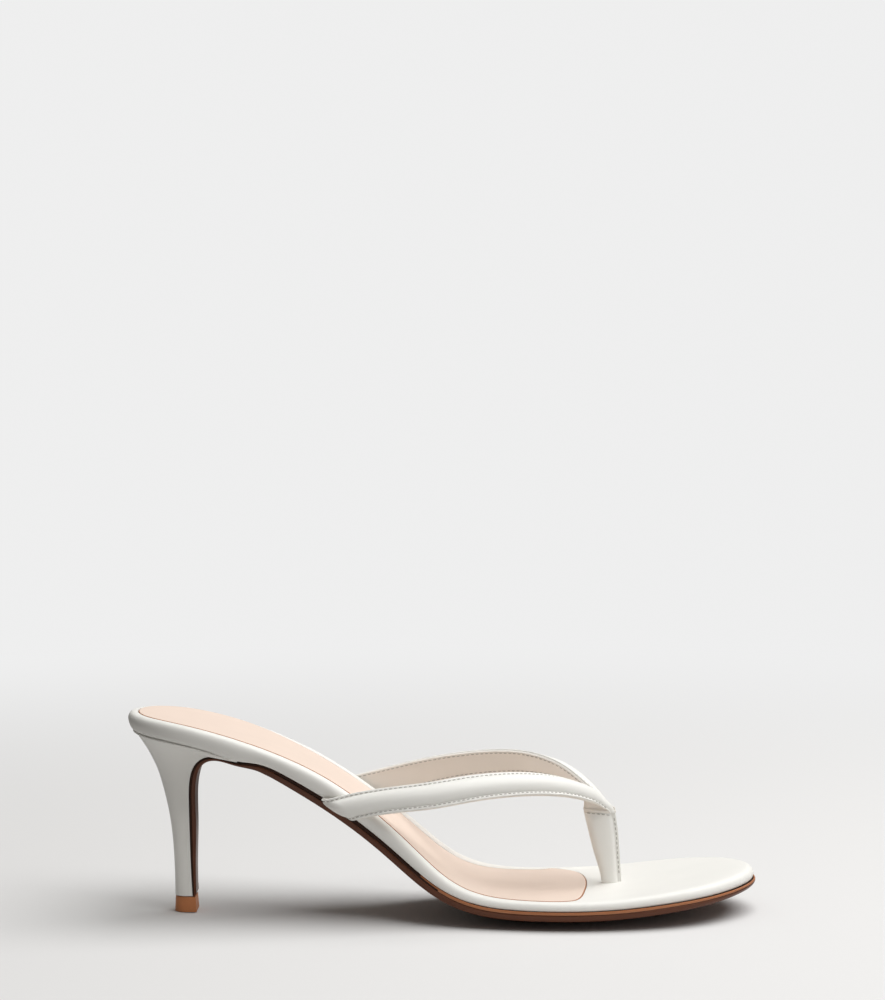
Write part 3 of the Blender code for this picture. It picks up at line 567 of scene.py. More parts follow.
def fill_cap(mesh, ring, verts, steps, lanes, point, tone):
    """Closes a ring with rungs across it; point(station, share) gives the points inside."""
    known = dict(zip(ring, verts))
    rungs = []
    for i in range(steps + 1):
        closed = (i, 1.0) not in known
        shares = [0.0] if closed else [lane / lanes for lane in range(lanes + 1)]
        spots = [(i, share) for share in shares]
        rungs.append([
            known[spot] if spot in known else mesh.verts.new(world(point(*spot))) for spot in spots
        ])
    for one, two in zip(rungs, rungs[1:]):
        for lane in range(lanes):
            corners = [one[min(lane, len(one) - 1)], one[min(lane + 1, len(one) - 1)]]
            corners += [two[min(lane + 1, len(two) - 1)], two[min(lane, len(two) - 1)]]
            mesh.faces.new(list(dict.fromkeys(corners))).material_index = tone


def smooth(data, angle=SMOOTH):
    """Shades a mesh smooth, but for its sharp edges."""
    data.shade_smooth()
    data.set_sharp_from_angle(angle=radians(angle))


def finished(mesh, name, finishes, angle=SMOOTH):
    """Turns a bmesh into a smooth-shaded object with its finishes."""
    bmesh.ops.recalc_face_normals(mesh, faces=mesh.faces)
    data = bpy.data.meshes.new(name)
    mesh.to_mesh(data)
    mesh.free()
    made = bpy.data.objects.new(name, data)
    bpy.context.collection.objects.link(made)
    smooth(data, angle)
    for finish in finishes:
        data.materials.append(leather(finish))
    return made


def wall(mesh, loops, tone):
    """Faces between matching loops of vertices; tone(loop, place in it) picks each one's finish."""
    for k, (one, two) in enumerate(zip(loops, loops[1:])):
        for a in range(len(one)):
            b = (a + 1) % len(one)
            mesh.faces.new((one[a], one[b], two[b], two[a])).material_index = tone(k, a)


def solid(
    name, rings, steps, point, finishes, lanes=1, start_open=True, end_open=True,
    tone=lambda ring, station: 0, angle=SMOOTH,
):
    """A closed solid of stacked rings, where point(ring, station, share) places each vertex."""
    mesh = bmesh.new()
    ring = around(steps, lanes, start_open, end_open)
    loops = [[mesh.verts.new(world(point(k, i, f))) for i, f in ring] for k in range(rings)]
    wall(mesh, loops, lambda k, a: tone(k, ring[a][0]))
    for k in (0, rings - 1):
        fill_cap(mesh, ring, loops[k], steps, lanes, lambda i, f: point(k, i, f), tone(k, 0))
    return finished(mesh, name, finishes, angle)


def tube(mesh, rings, tone=lambda place: 0):
    """A closed form through matching rings of points; tone(place) is the finish of a strip along it."""
    loops = [[mesh.verts.new(world(p)) for p in ring] for ring in rings]
    wall(mesh, loops, lambda _, a: tone(a))
    mesh.faces.new(loops[0])
    mesh.faces.new(loops[-1][::-1])


def circle(centre, side, up, radius, count):
    """Points round a centre, in the plane of two unit directions."""
    turns = [2 * pi * k / count for k in range(count)]
    return [centre + (side * cos(a) + up * sin(a)) * radius for a in turns]


# ---------------------------------------------------------------- materials


def node(tree, kind, values=None, **settings):
    """A new node with its settings, and the values of its inputs by name or number."""
    made = tree.nodes.new(kind)
    for key, setting in settings.items():
        setattr(made, key, setting)
    for key, value in (values or {}).items():
        made.inputs[key].default_value = value
    return made


def wire(tree, *pairs):
    """Joins sockets, each pair an output and the input that it feeds."""
    for output, fed in pairs:
        tree.links.new(output, fed)


def grain_group():
    """Fine leather grain: pebbled cells with pores and slow swells, as a height and a tone."""
    tree = bpy.data.node_groups.get("leather_grain")
    if tree:
        return tree
    tree = bpy.data.node_groups.new("leather_grain", "ShaderNodeTree")
    for label, value in (("Cells per mm", 2.2), ("Swell", 0.3)):
        socket = tree.interface.new_socket(label, in_out="INPUT", socket_type="NodeSocketFloat")
        socket.default_value = value
    for label in ("Height", "Tone"):
        tree.interface.new_socket(label, in_out="OUTPUT", socket_type="NodeSocketFloat")
    start, end = node(tree, "NodeGroupInput"), node(tree, "NodeGroupOutput")
    place = node(tree, "ShaderNodeTexCoord")
    scale = node(tree, "ShaderNodeMath", {1: 1 / MM}, operation="MULTIPLY")
    cells = node(tree, "ShaderNodeTexVoronoi", {"Smoothness": 0.6}, feature="SMOOTH_F1")
    pores = node(tree, "ShaderNodeTexNoise", {"Detail": 3.0})
    swell = node(tree, "ShaderNodeTexNoise", {"Scale": 90.0, "Detail": 2.0})
    fine = node(tree, "ShaderNodeMath", {1: 0.6}, operation="MULTIPLY_ADD")
    rise = node(tree, "ShaderNodeMath", operation="MULTIPLY_ADD")
    wire(tree, *((place.outputs["Object"], texture.inputs["Vector"]) for texture in (cells, pores, swell)))
    wire(
        tree,
        (start.outputs["Cells per mm"], scale.inputs[0]),
        (scale.outputs[0], cells.inputs["Scale"]),
        (scale.outputs[0], pores.inputs["Scale"]),
        (pores.outputs["Fac"], fine.inputs[0]),
        (cells.outputs["Distance"], fine.inputs[2]),
        (swell.outputs["Fac"], rise.inputs[0]),
        (start.outputs["Swell"], rise.inputs[1]),
        (fine.outputs[0], rise.inputs[2]),
        (rise.outputs[0], end.inputs["Height"]),
        (swell.outputs["Fac"], end.inputs["Tone"]),
    )
    return tree


def tint(colour, factor):
    """A colour made lighter or darker, without its transparency."""
    return tuple(c * factor for c in colour[:3]) + (1.0,)


def leather(name):
    """A finish by its name: its colour drifts between two tones, and the grain breaks up its gloss."""
    made = bpy.data.materials.get(name)
    if made:
        return made
    source, light, deep, roughness, cells, depth, swell, specular = FINISHES[name]
    colour = getattr(bpy.context.scene.sandal_colours, source)
    made = bpy.data.materials.new(name)
    made.use_nodes = True
    made.diffuse_color = tint(colour, light)
    tree = made.node_tree
    shader = tree.nodes["Principled BSDF"]
    shader.inputs["Specular IOR Level"].default_value = specular
    grain = node(tree, "ShaderNodeGroup", {"Cells per mm": cells, "Swell": swell}, node_tree=grain_group())
    tones = {"A": tint(colour, light), "B": tint(colour, deep)}
    drift = node(tree, "ShaderNodeMix", tones, data_type="RGBA")
    smoother, rougher = GLOSS
    gloss = node(
        tree, "ShaderNodeMapRange", {"To Min": roughness + smoother, "To Max": roughness + rougher}
    )
    bump = node(tree, "ShaderNodeBump", {"Strength": 0.5, "Distance": depth * MM})
    wire(
        tree,
        (grain.outputs["Tone"], drift.inputs["Factor"]),
        (drift.outputs["Result"], shader.inputs["Base Color"]),
        (grain.outputs["Height"], gloss.inputs["Value"]),
        (gloss.outputs["Result"], shader.inputs["Roughness"]),
        (grain.outputs["Height"], bump.inputs["Height"]),
        (bump.outputs["Normal"], shader.inputs["Normal"]),
    )
    return made


# ---------------------------------------------------------------- pieces


def sock_spot(station, share, inset, height):
    """A point by the sock's edge, at a height over the footbed's padded top."""
    along, y = SOCK.spot(station, share, inset)
    return on_last(along, y, height + lie(along, y))


def build_footbed():
    """Rings from the floor under the sock, up over the padded top and round the rim to the underside."""
    top = len(SOCK_RECESS)
    rim = top + len(TOP_RINGS)

    def point(ring, station, share):
        if ring < top:
            return sock_spot(station, share, *SOCK_RECESS[ring])
        if ring >= rim:
            return rim_spot(station, share, (ring - rim) / (RIM_RINGS - 1))
        outer = FOOTBED.spot(station, share, RIM_BACK[0][0])
        inner = SOCK.spot(station, share, RECESS_EDGE)
        along, y = outer + (inner - outer) * TOP_RINGS[ring - top]
        return on_last(along, y, lie(along, y))

    return solid(
        "wrapped_footbed", rim + RIM_RINGS, STATIONS, point, ["ivory_leather"],
        lanes=12, start_open=False, end_open=False,
    )


def build_sock():
    """Its nude face over a raw edge."""
    return solid(
        "sock", len(SOCK_SECTION), STATIONS, lambda k, i, f: sock_spot(i, f, *SOCK_SECTION[k]),
        ["nude_leather", "raw_edge"],
        lanes=20, start_open=False, end_open=False, tone=lambda ring, _: int(ring in SOCK_RAW),
    )


def sole_outline():
    """The flap's sides up the breast, then the footbed's outline let in or out by the sole's own table."""
    left, right = [], []
    for step in range(FLAP_STEPS + 1):
        up = SOLE_START + (SOLE_JOIN - SOLE_START) * step / FLAP_STEPS
        half = FLAP.point(up)[1]
        left.append((up, -half))
        right.append((up, half))
    for i in range(FOOTBED.steps + 1):
        a, b = FOOTBED.left[i], FOOTBED.right[i]
        if min(a[0], b[0]) < SOLE_JOIN + SOLE_BLEND:
            continue
        left.append(a + FOOTBED.left_out[i] * SOLE.point(a[0])[1])
        right.append(b + FOOTBED.right_out[i] * SOLE.point(b[0])[1])
    return Outline(left, right, start_open=True)


def belly(along):
    """How much deeper the sole's middle is than its edge: most under the ball, nothing in the waist."""
    return float(np.interp(along, *SOLE_BELLY))


def build_sole():
    """The tread, waist and flap in one, with the stripe, the groove, and strips along its edge painted dark
    as shade.
    """
    outline = sole_outline()
    last = len(SOLE_SECTION) - 1

    def point(ring, station, share):
        inset, depth, deeper = SOLE_SECTION[ring]
        along, y = outline.spot(station, share, inset)
        level = -depth * sole_thickness(along) - deeper * belly(along)
        if ring == last:
            level -= belly(along) * 4 * share * (1 - share)
        return on_sole(along, y, level)

    def tone(ring, station):
        """Which finish a strip has: 0 the leather, 1 the stripe, 2 painted shade, in the groove and under the
        rim's overhang in the waist.
        """
        along = outline.left[station][0]
        if ring >= last - 1:
            return 0
        if along < SOLE_EDGE_START:
            # behind the stripe the upper strips get painted shade, the shade under the rim's overhang
            return 2 if ring < np.interp(along, *SOLE_PAINTED_SHADE) else 0
        stripe = 1 + 2 * min((along - SOLE_EDGE_START) / SOLE_STRIPE_GROWTH, 1.0)
        # the groove's strips under the stripe are painted dark as its shade
        return 1 if ring < stripe else 2 if ring < SOLE_GROOVE_END else 0

    return solid(
        "sole", last + 1, outline.steps, point, ["sole_leather", "sole_edge", "sole_groove"],
        lanes=16, end_open=False, tone=tone, angle=SMOOTH_EDGES,
    )


HEEL_SHARES = np.linspace(0.0, 1.0, HEEL_STATIONS + 1) ** HEEL_CROWDING


def heel_half(forward, half):
    """Half width of the heel in plan at a share of the way forward, where half is its greatest."""
    return half * (1 - (1 - min(1.0, forward / HEEL_WIDEST)) ** HEEL_FULLNESS) ** (1 / HEEL_FULLNESS)


def mirrored_spot(x, half, share, z, middle=0.0):
    """A point across a level of something that is the same on both sides of its middle."""
    return Vector((x, middle + half * (2 * share - 1), z))


def heel_edges():
    """Upper edge of the heel's covering down each side, under the rim and in to the sole at its front."""
    return [
        [p - out * np.interp(p[0], *HEEL_TOP_INSET) for p, out in zip(side, outs)]
        for side, outs in ((FOOTBED.left, FOOTBED.left_out), (FOOTBED.right, FOOTBED.right_out))
    ]


def build_heel():
    """Curves from the foot of the block up its flank to the edge under the rim, side by side."""
    count = len(HEEL_SECTIONS)
    tops = []
    for side in heel_edges():
        shown = [p for p in side if p[0] <= HEEL_TOP_FRONT + HEEL_TOP_SPARE]
        line = Curve(shown)
        tops.append((line, np.interp(HEEL_TOP_FRONT, [p[0] for p in shown], line.at)))

    def control(ring, station, share):
        if ring == count:
            left, right = (line.point(reach * station / HEEL_STATIONS) for line, reach in tops)
            along, y = left + (right - left) * share
            return on_last(along, y, HEEL_TOP_SINK - thickness(along))
        back_x, back_z, rise = HEEL_SECTIONS[ring]
        up = SOLE_START + rise * (SOLE_JOIN - SOLE_START)
        front = raised(SOLE_PATH, up, 0.0, GAP)
        q = HEEL_SHARES[station]
        wide = heel_half(q, FLAP.point(up)[1])
        return mirrored_spot(back_x + (front.x - back_x) * q, wide, share, back_z + (front.z - back_z) * q)

    paths = {}

    def point(ring, station, share):
        if (station, share) not in paths:
            paths[station, share] = Curve([tuple(control(k, station, share)) for k in range(count + 1)])
        path = paths[station, share]
        return path.point(path.at[-1] * ring / (HEEL_RINGS - 1))

    return solid(
        "covered_heel", HEEL_RINGS, HEEL_STATIONS, point, ["ivory_leather"], lanes=6, start_open=False,
    )


def build_heel_bead():
    """The rolled upper edge of the heel's covering, round its back from one breast to the other."""
    left, right = ([p for p in side if p[0] < HEEL_TOP_FRONT] for side in heel_edges())
    edge = left[::-1] + right[1:]
    line = Curve([tuple(on_last(along, y, -thickness(along) - HEEL_BEAD_DROP)) for along, y in edge])
    end_share, growth = HEEL_BEAD_END
    steps, count = HEEL_BEAD_STEPS
    rings = []
    for t in np.linspace(0.0, line.at[-1], steps):
        way = Vector(line.tangent(t))
        side = way.cross(Vector((0, 0, 1))).normalized()
        up = side.cross(way).normalized()
        fat = HEEL_BEAD * min(1.0, end_share + min(t, line.at[-1] - t) / growth)
        rings.append(circle(Vector(line.point(t)), side, up, fat, count))
    mesh = bmesh.new()
    tube(mesh, rings)
    return finished(mesh, "heel_bead", ["ivory_leather"], SMOOTH_ROUND)


def build_top_piece():
    """The moulded wearing block, in the heel's plan."""
    def point(ring, station, share):
        z, inset = TOP_PIECE_SECTION[ring]
        back, front, half = (
            float(np.interp(z, (0.0, TOP_PIECE_HEIGHT), pair))
            for pair in (TOP_PIECE_BACK, TOP_PIECE_FRONT, TOP_PIECE_HALF)
        )
        back, front, half = back + inset, front - inset, half - inset
        q = HEEL_SHARES[station]
        return mirrored_spot(back + (front - back) * q, heel_half(q, half), share, z)

    return solid(
        "heel_top_piece", len(TOP_PIECE_SECTION), HEEL_STATIONS, point, ["top_piece_rubber"],
        lanes=6, start_open=False,
    )


def band_loop():
    """Strap in cross-section as across and height, round from its outer face; and where its lining lies."""
    spread = np.sin(np.linspace(-pi / 2, pi / 2, PAD_POINTS)) * PAD_HALF
    flange = FLANGE_EDGE[0][1]
    flat, fullness = PAD_CROWN
    pad = [(x, flange + PAD_RELIEF * (1 - min(1.0, abs(x / PAD_HALF)) ** flat) ** fullness) for x in spread]
    edge = list(FLANGE_EDGE)
    lining = [(x, 0.0) for x in np.linspace(LINING_HALF, -LINING_HALF, LINING_POINTS)]
    mirrored = [(-x, h) for x, h in edge[::-1]]
    start = len(pad) + FLANGE_FOLD
    return pad + edge + lining + mirrored, start, len(pad) + 2 * len(edge) + len(lining) - FLANGE_FOLD - 1


class Strap:
    """A padded band along its rows; outward is -1 on the lateral side and +1 on the medial."""

    def __init__(self, rows, outward):
        self.path = Curve([row[:3] for row in rows])
        self.lean = Curve([row[3:] for row in rows], self.path.at)
        self.outward = outward
        self.length = float(self.path.at[-1])

    def frame(self, t):
        """Middle of the lining at a stop, with the strap's outward and sideways directions at its size."""
        angle, size = self.lean.point(t)
        way = Vector(self.path.tangent(t))
        flat = Vector((way.y, -way.x, 0.0)).normalized() * -self.outward
        side = way.cross(flat).normalized() * self.outward
        face = flat * cos(radians(angle)) + side * sin(radians(angle))
        return Vector(self.path.point(t)), face * size, way.cross(face).normalized() * size

    def spots(self, t, section):
        """The band's points at a stop along it, each given as across and height over the lining."""
        middle, face, side = self.frame(t)
        return [self.tucked(middle + side * across + face * height) for across, height in section]

    def tucked(self, point):
        """A point rolled around the footbed's lower edge and in under it once it is past that."""
        along = nearest_along(point.x, point.z)
        base = raised(LAST, along, 0.0, 0.0)
        way_x, way_z = LAST.tangent(along)
        centre = TUCK_TURN - thickness(along)
        past = centre - (point.z - base.z) * way_x + (point.x - base.x) * way_z
        if past <= 0:
            return point
        edge = self.outward * SIDES.point(base.x)[0 if self.outward < 0 else 1]
        length, lost = TUCK_SKIVE
        clear = (self.outward * point.y - edge - GAP) * (1 - lost * eased(past, 0.0, length))
        radius = TUCK_TURN + GAP + clear
        turned = TUCK_TURN + GAP + TUCK_MIDDLE
        angle = min(past / turned, pi / 2)
        out = edge - TUCK_TURN + radius * cos(angle) - (past - turned * angle)
        return raised(LAST, along, self.outward * out, centre - radius * sin(angle))


STRAPS = (Strap(LATERAL_STRAP, -1.0), Strap(MEDIAL_STRAP, 1.0))


def build_strap(name, strap):
    """One padded strap from its tuck to the post, lined on its inner face."""
    loop, lining_from, lining_to = band_loop()
    mesh = bmesh.new()
    tube(
        mesh, [strap.spots(t, loop) for t in strap.length * np.linspace(0.0, 1.0, STRAP_RINGS)],
        lambda place: int(lining_from <= place < lining_to),
    )
    return finished(mesh, name, ["ivory_leather", "strap_lining"])


def post_level(z):
    """Stations of the post's section at a level: x, half thickness, from its round rear to its flange."""
    rear, front, half = POST.point(z)
    flange, thin = POST_FLANGE
    deep, fullness = POST_ROUND
    body = front - flange
    turn = [pi / 2 * k / POST_TURN for k in range(POST_TURN + 1)]
    rows = [(rear + deep * (1 - cos(a)), half * sin(a) ** fullness) for a in turn]
    rows += [(body - 1.6, half * 0.97), (body - 0.6, half * 0.72), (body - 0.1, thin + 0.3)]
    return rows + [(body, thin + 0.06), (front - 0.12, thin), (front, thin - 0.12)]


def build_post():
    """The post from the footbed up to the seam under the straps."""
    levels = list(np.linspace(POST_FOOT_Z, POST_SEAM_Z, POST_LEVELS))
    sections = [post_level(z) for z in levels]

    def point(ring, station, share):
        x, half = sections[ring][station]
        return mirrored_spot(x, half, share, levels[ring], POST_Y)

    return solid("post", POST_LEVELS, len(sections[0]) - 1, point, ["ivory_leather"], start_open=False)


def build_post_head():
    """The post's upper end inside the straps, which shows where their lining opens round it."""
    rows = post_level(POST_SEAM_Z)
    tops = [float(np.interp(x, (rows[0][0], rows[-1][0]), POST_HEAD_TOP)) for x, _ in rows]

    def point(ring, station, share):
        x, half = rows[station]
        return mirrored_spot(x, half, share, tops[station] if ring else POST_SEAM_Z - POST_HEAD_SPARE, POST_Y)

    return solid(
        "post_head", 2, len(rows) - 1, point, ["ivory_leather", "strap_lining"],
        start_open=False, tone=lambda ring, _: 1,
    )


def fold_rise(x):
    """How much higher the folded end lies at a place forward than at the post's front."""
    rear, front, _ = POST.point(POST_SEAM_Z)
    return POST_FOLD_RISE * (front - x) / (front - rear)


def build_post_fold():
    """The post's upper end, folded over in a narrow band that slopes down to its front."""
    rows = post_level(POST_SEAM_Z)
    rear, front = rows[0][0], rows[-1][0]

    def point(ring, station, share):
        lift, out = POST_FOLD[ring]
        x, half = rows[station]
        z = POST_SEAM_Z + fold_rise(x) + lift
        x += out * (2 * (x - rear) / (front - rear) - 1)
        return mirrored_spot(x, half + out + POST_FOLD_CLEAR, share, z, POST_Y)

    return solid("post_fold", len(POST_FOLD), len(rows) - 1, point, ["strap_lining"], angle=SMOOTH_EDGES)


def box_form(name, low, high):
    """A plain box between two corners."""
    mesh = bmesh.new()
    bmesh.ops.create_cube(mesh, size=1.0)
    for vert in mesh.verts:
        vert.co = world([(high if vert.co[axis] > 0 else low)[axis] for axis in range(3)])
    return finished(mesh, name, [])


def sole_clearance():
    """The sole's room in the waist, where the straps' tucked ends stop at its edge."""
    whole = sole_outline()
    start, end = TUCK_SPAN
    kept = (whole.left[:, 0] > start) & (whole.left[:, 0] < end)
    waist = Outline(whole.left[kept], whole.right[kept], True, True)

    def point(ring, station, share):
        along, y = waist.spot(station, share, -ROOM)
        return on_sole(along, y, TUCK_ROOM[ring])

    return solid("sole_clearance", 2, waist.steps, point, [], lanes=4)


def footbed_clearance():
    """The footbed's outside, a little grown."""
    rings = 10

    def point(ring, station, share):
        return rim_spot(station, share, ring / (rings - 1), ROOM)

    return solid("clearance", rings, STATIONS, point, [], lanes=4, start_open=False, end_open=False)


def cut(target, cutter, operation="DIFFERENCE", rolled=False):
    """Applies a boolean and throws the cutter away.

    rolled is for a target whose rolled ends may cross themselves, and takes longer.
    """
    step = target.modifiers.new("cut", "BOOLEAN")
    step.operation = operation
    step.solver = "EXACT"
    step.use_self = rolled
    step.object = cutter
    bpy.context.view_layer.update()
    graph = bpy.context.evaluated_depsgraph_get()
    data = bpy.data.meshes.new_from_object(target.evaluated_get(graph))
    target.modifiers.clear()
    old, target.data = target.data, data
    bpy.data.meshes.remove(old)
    bpy.data.meshes.remove(cutter.data)


def build_straps():
    """Both straps and the post's head joined, with the room of their neighbours cut out."""
    upper = build_strap("joined_straps", STRAPS[0])
    cut(upper, build_strap("medial_strap", STRAPS[1]), "UNION")
    cut(upper, build_post_head(), "UNION")
    cut(upper, footbed_clearance())
    cut(upper, sole_clearance(), rolled=True)
    cut(upper, box_form("under_seam", *UNDER_SEAM))
    smooth(upper.data)
    return upper


def sewing_sizes():
    """Pitch, length and radius of the stitches, in millimetres."""
    sewing = bpy.context.scene.sandal_sewing
    return (value / MM for value in (sewing.pitch, sewing.length, sewing.thread / 2))


def stitch(mesh, middle, way, up, length, radius):
    """One thread stitch: a short round bow that dips into the leather at both ends."""
    side = way.cross(up).normalized()
    rise, pull = STITCH_BOW
    least, power = STITCH_TAPER
    steps, count = STITCH_STEPS
    rings = []
    for s in np.linspace(-1.0, 1.0, steps):
        bow = 1 - s * s
        base = middle + way * (s * length / 2) + up * (radius * rise * bow - radius * pull)
        rings.append(circle(base, side, up, radius * max(least, bow**power), count))
    tube(mesh, rings)


def seam_spots(line, pitch, start, end):
    """Even stops along a seam given as a function of its parameter."""
    ts = np.linspace(start, end, SEAM_SAMPLES)
    points = np.array([tuple(line(t)) for t in ts])
    run = np.concatenate(([0.0], np.cumsum(np.linalg.norm(np.diff(points, axis=0), axis=1))))
    count = int(run[-1] / pitch)
    return [float(np.interp(pitch * (k + 0.5), run, ts)) for k in range(count)]


def build_strap_stitching(upper):
    """Lockstitches down both flanges of each strap, outside and on the lining, where they are in sight."""
    pitch, length, radius = sewing_sizes()
    tree = BVHTree.FromObject(upper, bpy.context.evaluated_depsgraph_get())
    mesh = bmesh.new()
    near, square = SEAM_IN_SIGHT
    faces = ((FLANGE_EDGE[1][1], 1.0), (0.0, -1.0))  # height, and which way is out of the leather
    for strap, across, (height, above) in product(STRAPS, (-SEAM_ACROSS, SEAM_ACROSS), faces):
        def line(t):
            return strap.spots(t, [(across, height)])[0]

        for t in seam_spots(line, pitch, 0.0, strap.length * SEAM_END):
            low, high = strap.spots(t, [(across, height), (across, height + above)])
            up = (high - low).normalized()
            _, normal, _, gap = tree.find_nearest(world(low))
            if gap < near * MM and normal.dot(up) > square:
                way = (line(t + 0.2) - line(t - 0.2)).normalized()
                stitch(mesh, low, way, up, length, radius)
    return finished(mesh, "strap_stitching", ["thread"], SMOOTH_ROUND)


def build_post_stitching():
    """A row down each side of the post's flange, and one across under the folded end."""
    pitch, length, radius = sewing_sizes()
    mesh = bmesh.new()
    rear, front, half = POST.point(POST_SEAM_Z)
    behind, before = POST_ROW
    slope = Vector((1, 0, POST_ROW_SLOPE)).normalized()
    for side in (-1, 1):
        out = Vector((0, side, 0))

        def line(z):
            return Vector((POST.point(z)[1] - POST_SEWN_INSET, POST_Y + side * POST_FLANGE[1], z))

        for z in seam_spots(line, pitch, *POST_SEWN):
            way = (line(z + 0.5) - line(z - 0.5)).normalized()
            stitch(mesh, line(z), way, out, length, radius)
        for x in np.arange(rear + behind, front - before, pitch):
            spot = Vector((x, POST_Y + side * half, POST_SEAM_Z - POST_ROW_DROP + fold_rise(x)))
            stitch(mesh, spot, slope, out, length, radius)
    return finished(mesh, "post_stitching", ["thread"], SMOOTH_ROUND)


# ---------------------------------------------------------------- add-on


def hue(name, description, default):
    """A colour in the sidebar."""
    return bpy.props.FloatVectorProperty(
        name=name, description=description, default=default, size=4, min=0.0, max=1.0, subtype="COLOR"
    )


class SandalColours(bpy.types.PropertyGroup):
    """Colours of the leathers, the thread and the heel's top piece."""

    ivory: hue("Ivory", "Leather of the straps, footbed, post and heel", (0.875, 0.865, 0.825, 1.0))
    lining: hue("Strap lining", "Leather on the inner face of the straps", (0.86, 0.82, 0.76, 1.0))
    nude: hue("Nude", "Leather of the sock", (0.84, 0.69, 0.59, 1.0))
    raw_edge: hue("Raw edge", "Cut edge of the sock", (0.45, 0.19, 0.09, 1.0))
    sole: hue("Sole", "Flank and underside of the sole", (0.13, 0.042, 0.018, 1.0))
    edge: hue("Sole edge", "Stripe along the sole's upper edge", (0.42, 0.155, 0.06, 1.0))
    top_piece: hue("Top piece", "Moulded piece under the heel", (0.55, 0.2, 0.07, 1.0))
    # a grey-beige taken darker than the thread's own, so that it is partly painted shade of the needle holes
    # at the stitches' ends
    thread: hue("Thread", "Stitching", (0.5, 0.48, 0.45, 1.0))


def measure(name, description, default):
    """A length in the sidebar."""
    return bpy.props.FloatProperty(
        name=name, description=description, default=default, min=0.0, unit="LENGTH"
    )


def plain(name, description, default):
    """A bare number in the sidebar."""
    return bpy.props.FloatProperty(name=name, description=description, default=default, min=0.0)


class SandalSewing(bpy.types.PropertyGroup):
    """Stitch sizes."""

    pitch: measure("Pitch", "From one stitch to the next", 1.75 * MM)
    length: measure("Stitch", "Length of one stitch", 1.35 * MM)
    thread: measure("Thread", "Thickness of the thread", 0.36 * MM)


class SandalStage(bpy.types.PropertyGroup):
    """Floor, light and camera."""

    floor: hue("Floor", "Colour of the floor", (0.74, 0.735, 0.73, 1.0))
    bounce: hue("Bounce", "Floor by the shoe, in the light it throws back", (0.72, 0.71, 0.7, 1.0))
    dim: hue("Dim bounce", "Floor further out, in the light it throws back", (0.15, 0.147, 0.145, 1.0))
    backdrop: hue("Backdrop", "Colour behind the shoe and far out on the floor", (0.86, 0.86, 0.86, 1.0))
    fill_colour: hue("Fill colour", "Colour of the even light", (1.0, 0.97, 0.91, 1.0))
    fill: plain("Fill", "Even light from all round", 0.18)
    top: plain("Top light", "Power of the large soft light", 29.5)
    front: plain("Front light", "Power of the weak light in front", 2.0)
    lens: plain("Lens", "Focal length in millimetres", 140.0)


def kept(piece, *nodes, slot):
    """Puts a piece on the body, in place of its solids; slot is not used."""
    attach(piece, "root")
    if nodes:
        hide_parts(*nodes)


class SANDAL_OT_footbed(bpy.types.Operator):
    """Build the padded footbed, wrapped in ivory leather"""

    bl_idname = "sandal.footbed"
    bl_label = "Footbed"

    def execute(self, context):
        kept(build_footbed(), "footbed", slot="footbed")
        return {"FINISHED"}


class SANDAL_OT_sock(bpy.types.Operator):
    """Build the sock lining with its raw edge"""

    bl_idname = "sandal.sock"
    bl_label = "Sock lining"

    def execute(self, context):
        kept(build_sock(), "sock_lining", slot="sock_lining")
        return {"FINISHED"}


class SANDAL_OT_sole(bpy.types.Operator):
    """Build the sole with its edge stripe and the flap on the heel breast"""

    bl_idname = "sandal.sole"
    bl_label = "Sole"

    def execute(self, context):
        kept(build_sole(), "outsole", slot="outsole")
        return {"FINISHED"}


class SANDAL_OT_heel(bpy.types.Operator):
    """Build the covered heel and its top piece"""

    bl_idname = "sandal.heel"
    bl_label = "Heel"

    def execute(self, context):
        kept(build_heel(), "heel", slot="heel")
        kept(build_heel_bead(), slot="heel")
        kept(build_top_piece(), "top_piece", slot="top_piece")
        return {"FINISHED"}


class SANDAL_OT_straps(bpy.types.Operator):
    """Build the two padded straps, joined over the post, and the post itself"""

    bl_idname = "sandal.straps"
    bl_label = "Straps and post"

    def execute(self, context):
        kept(build_straps(), "upper", slot="upper")
        kept(build_post(), "toe_post", slot="toe_post")
        kept(build_post_fold(), slot="toe_post")
        return {"FINISHED"}


class SANDAL_OT_stitching(bpy.types.Operator):
    """Sew the straps' edges and the post's flange"""

    bl_idname = "sandal.stitching"
    bl_label = "Stitching"

    def execute(self, context):
        upper = bpy.data.objects.get("joined_straps")
        if not upper:
            raise RuntimeError("build the straps before the stitching")
        kept(build_strap_stitching(upper), slot="upper")
        kept(build_post_stitching(), slot="toe_post")
        return {"FINISHED"}


def area_light(name, place, target, size, power):
    """A soft rectangular light that shines from a place to a target."""
    data = bpy.data.lights.new(name, "AREA")
    data.shape = "RECTANGLE"
    data.size, data.size_y = size
    data.energy = power
    made = bpy.data.objects.new(name, data)
    bpy.context.collection.objects.link(made)
    made.location = place
    made.rotation_euler = (Vector(target) - Vector(place)).to_track_quat("-Z", "Y").to_euler()


def blended(tree, factor, one, two):
    """A mix of two shaders, by the outputs that feed it."""
    mix = node(tree, "ShaderNodeMixShader")
    wire(tree, (factor, mix.inputs["Fac"]), (one, mix.inputs[1]), (two, mix.inputs[2]))
    return mix.outputs["Shader"]


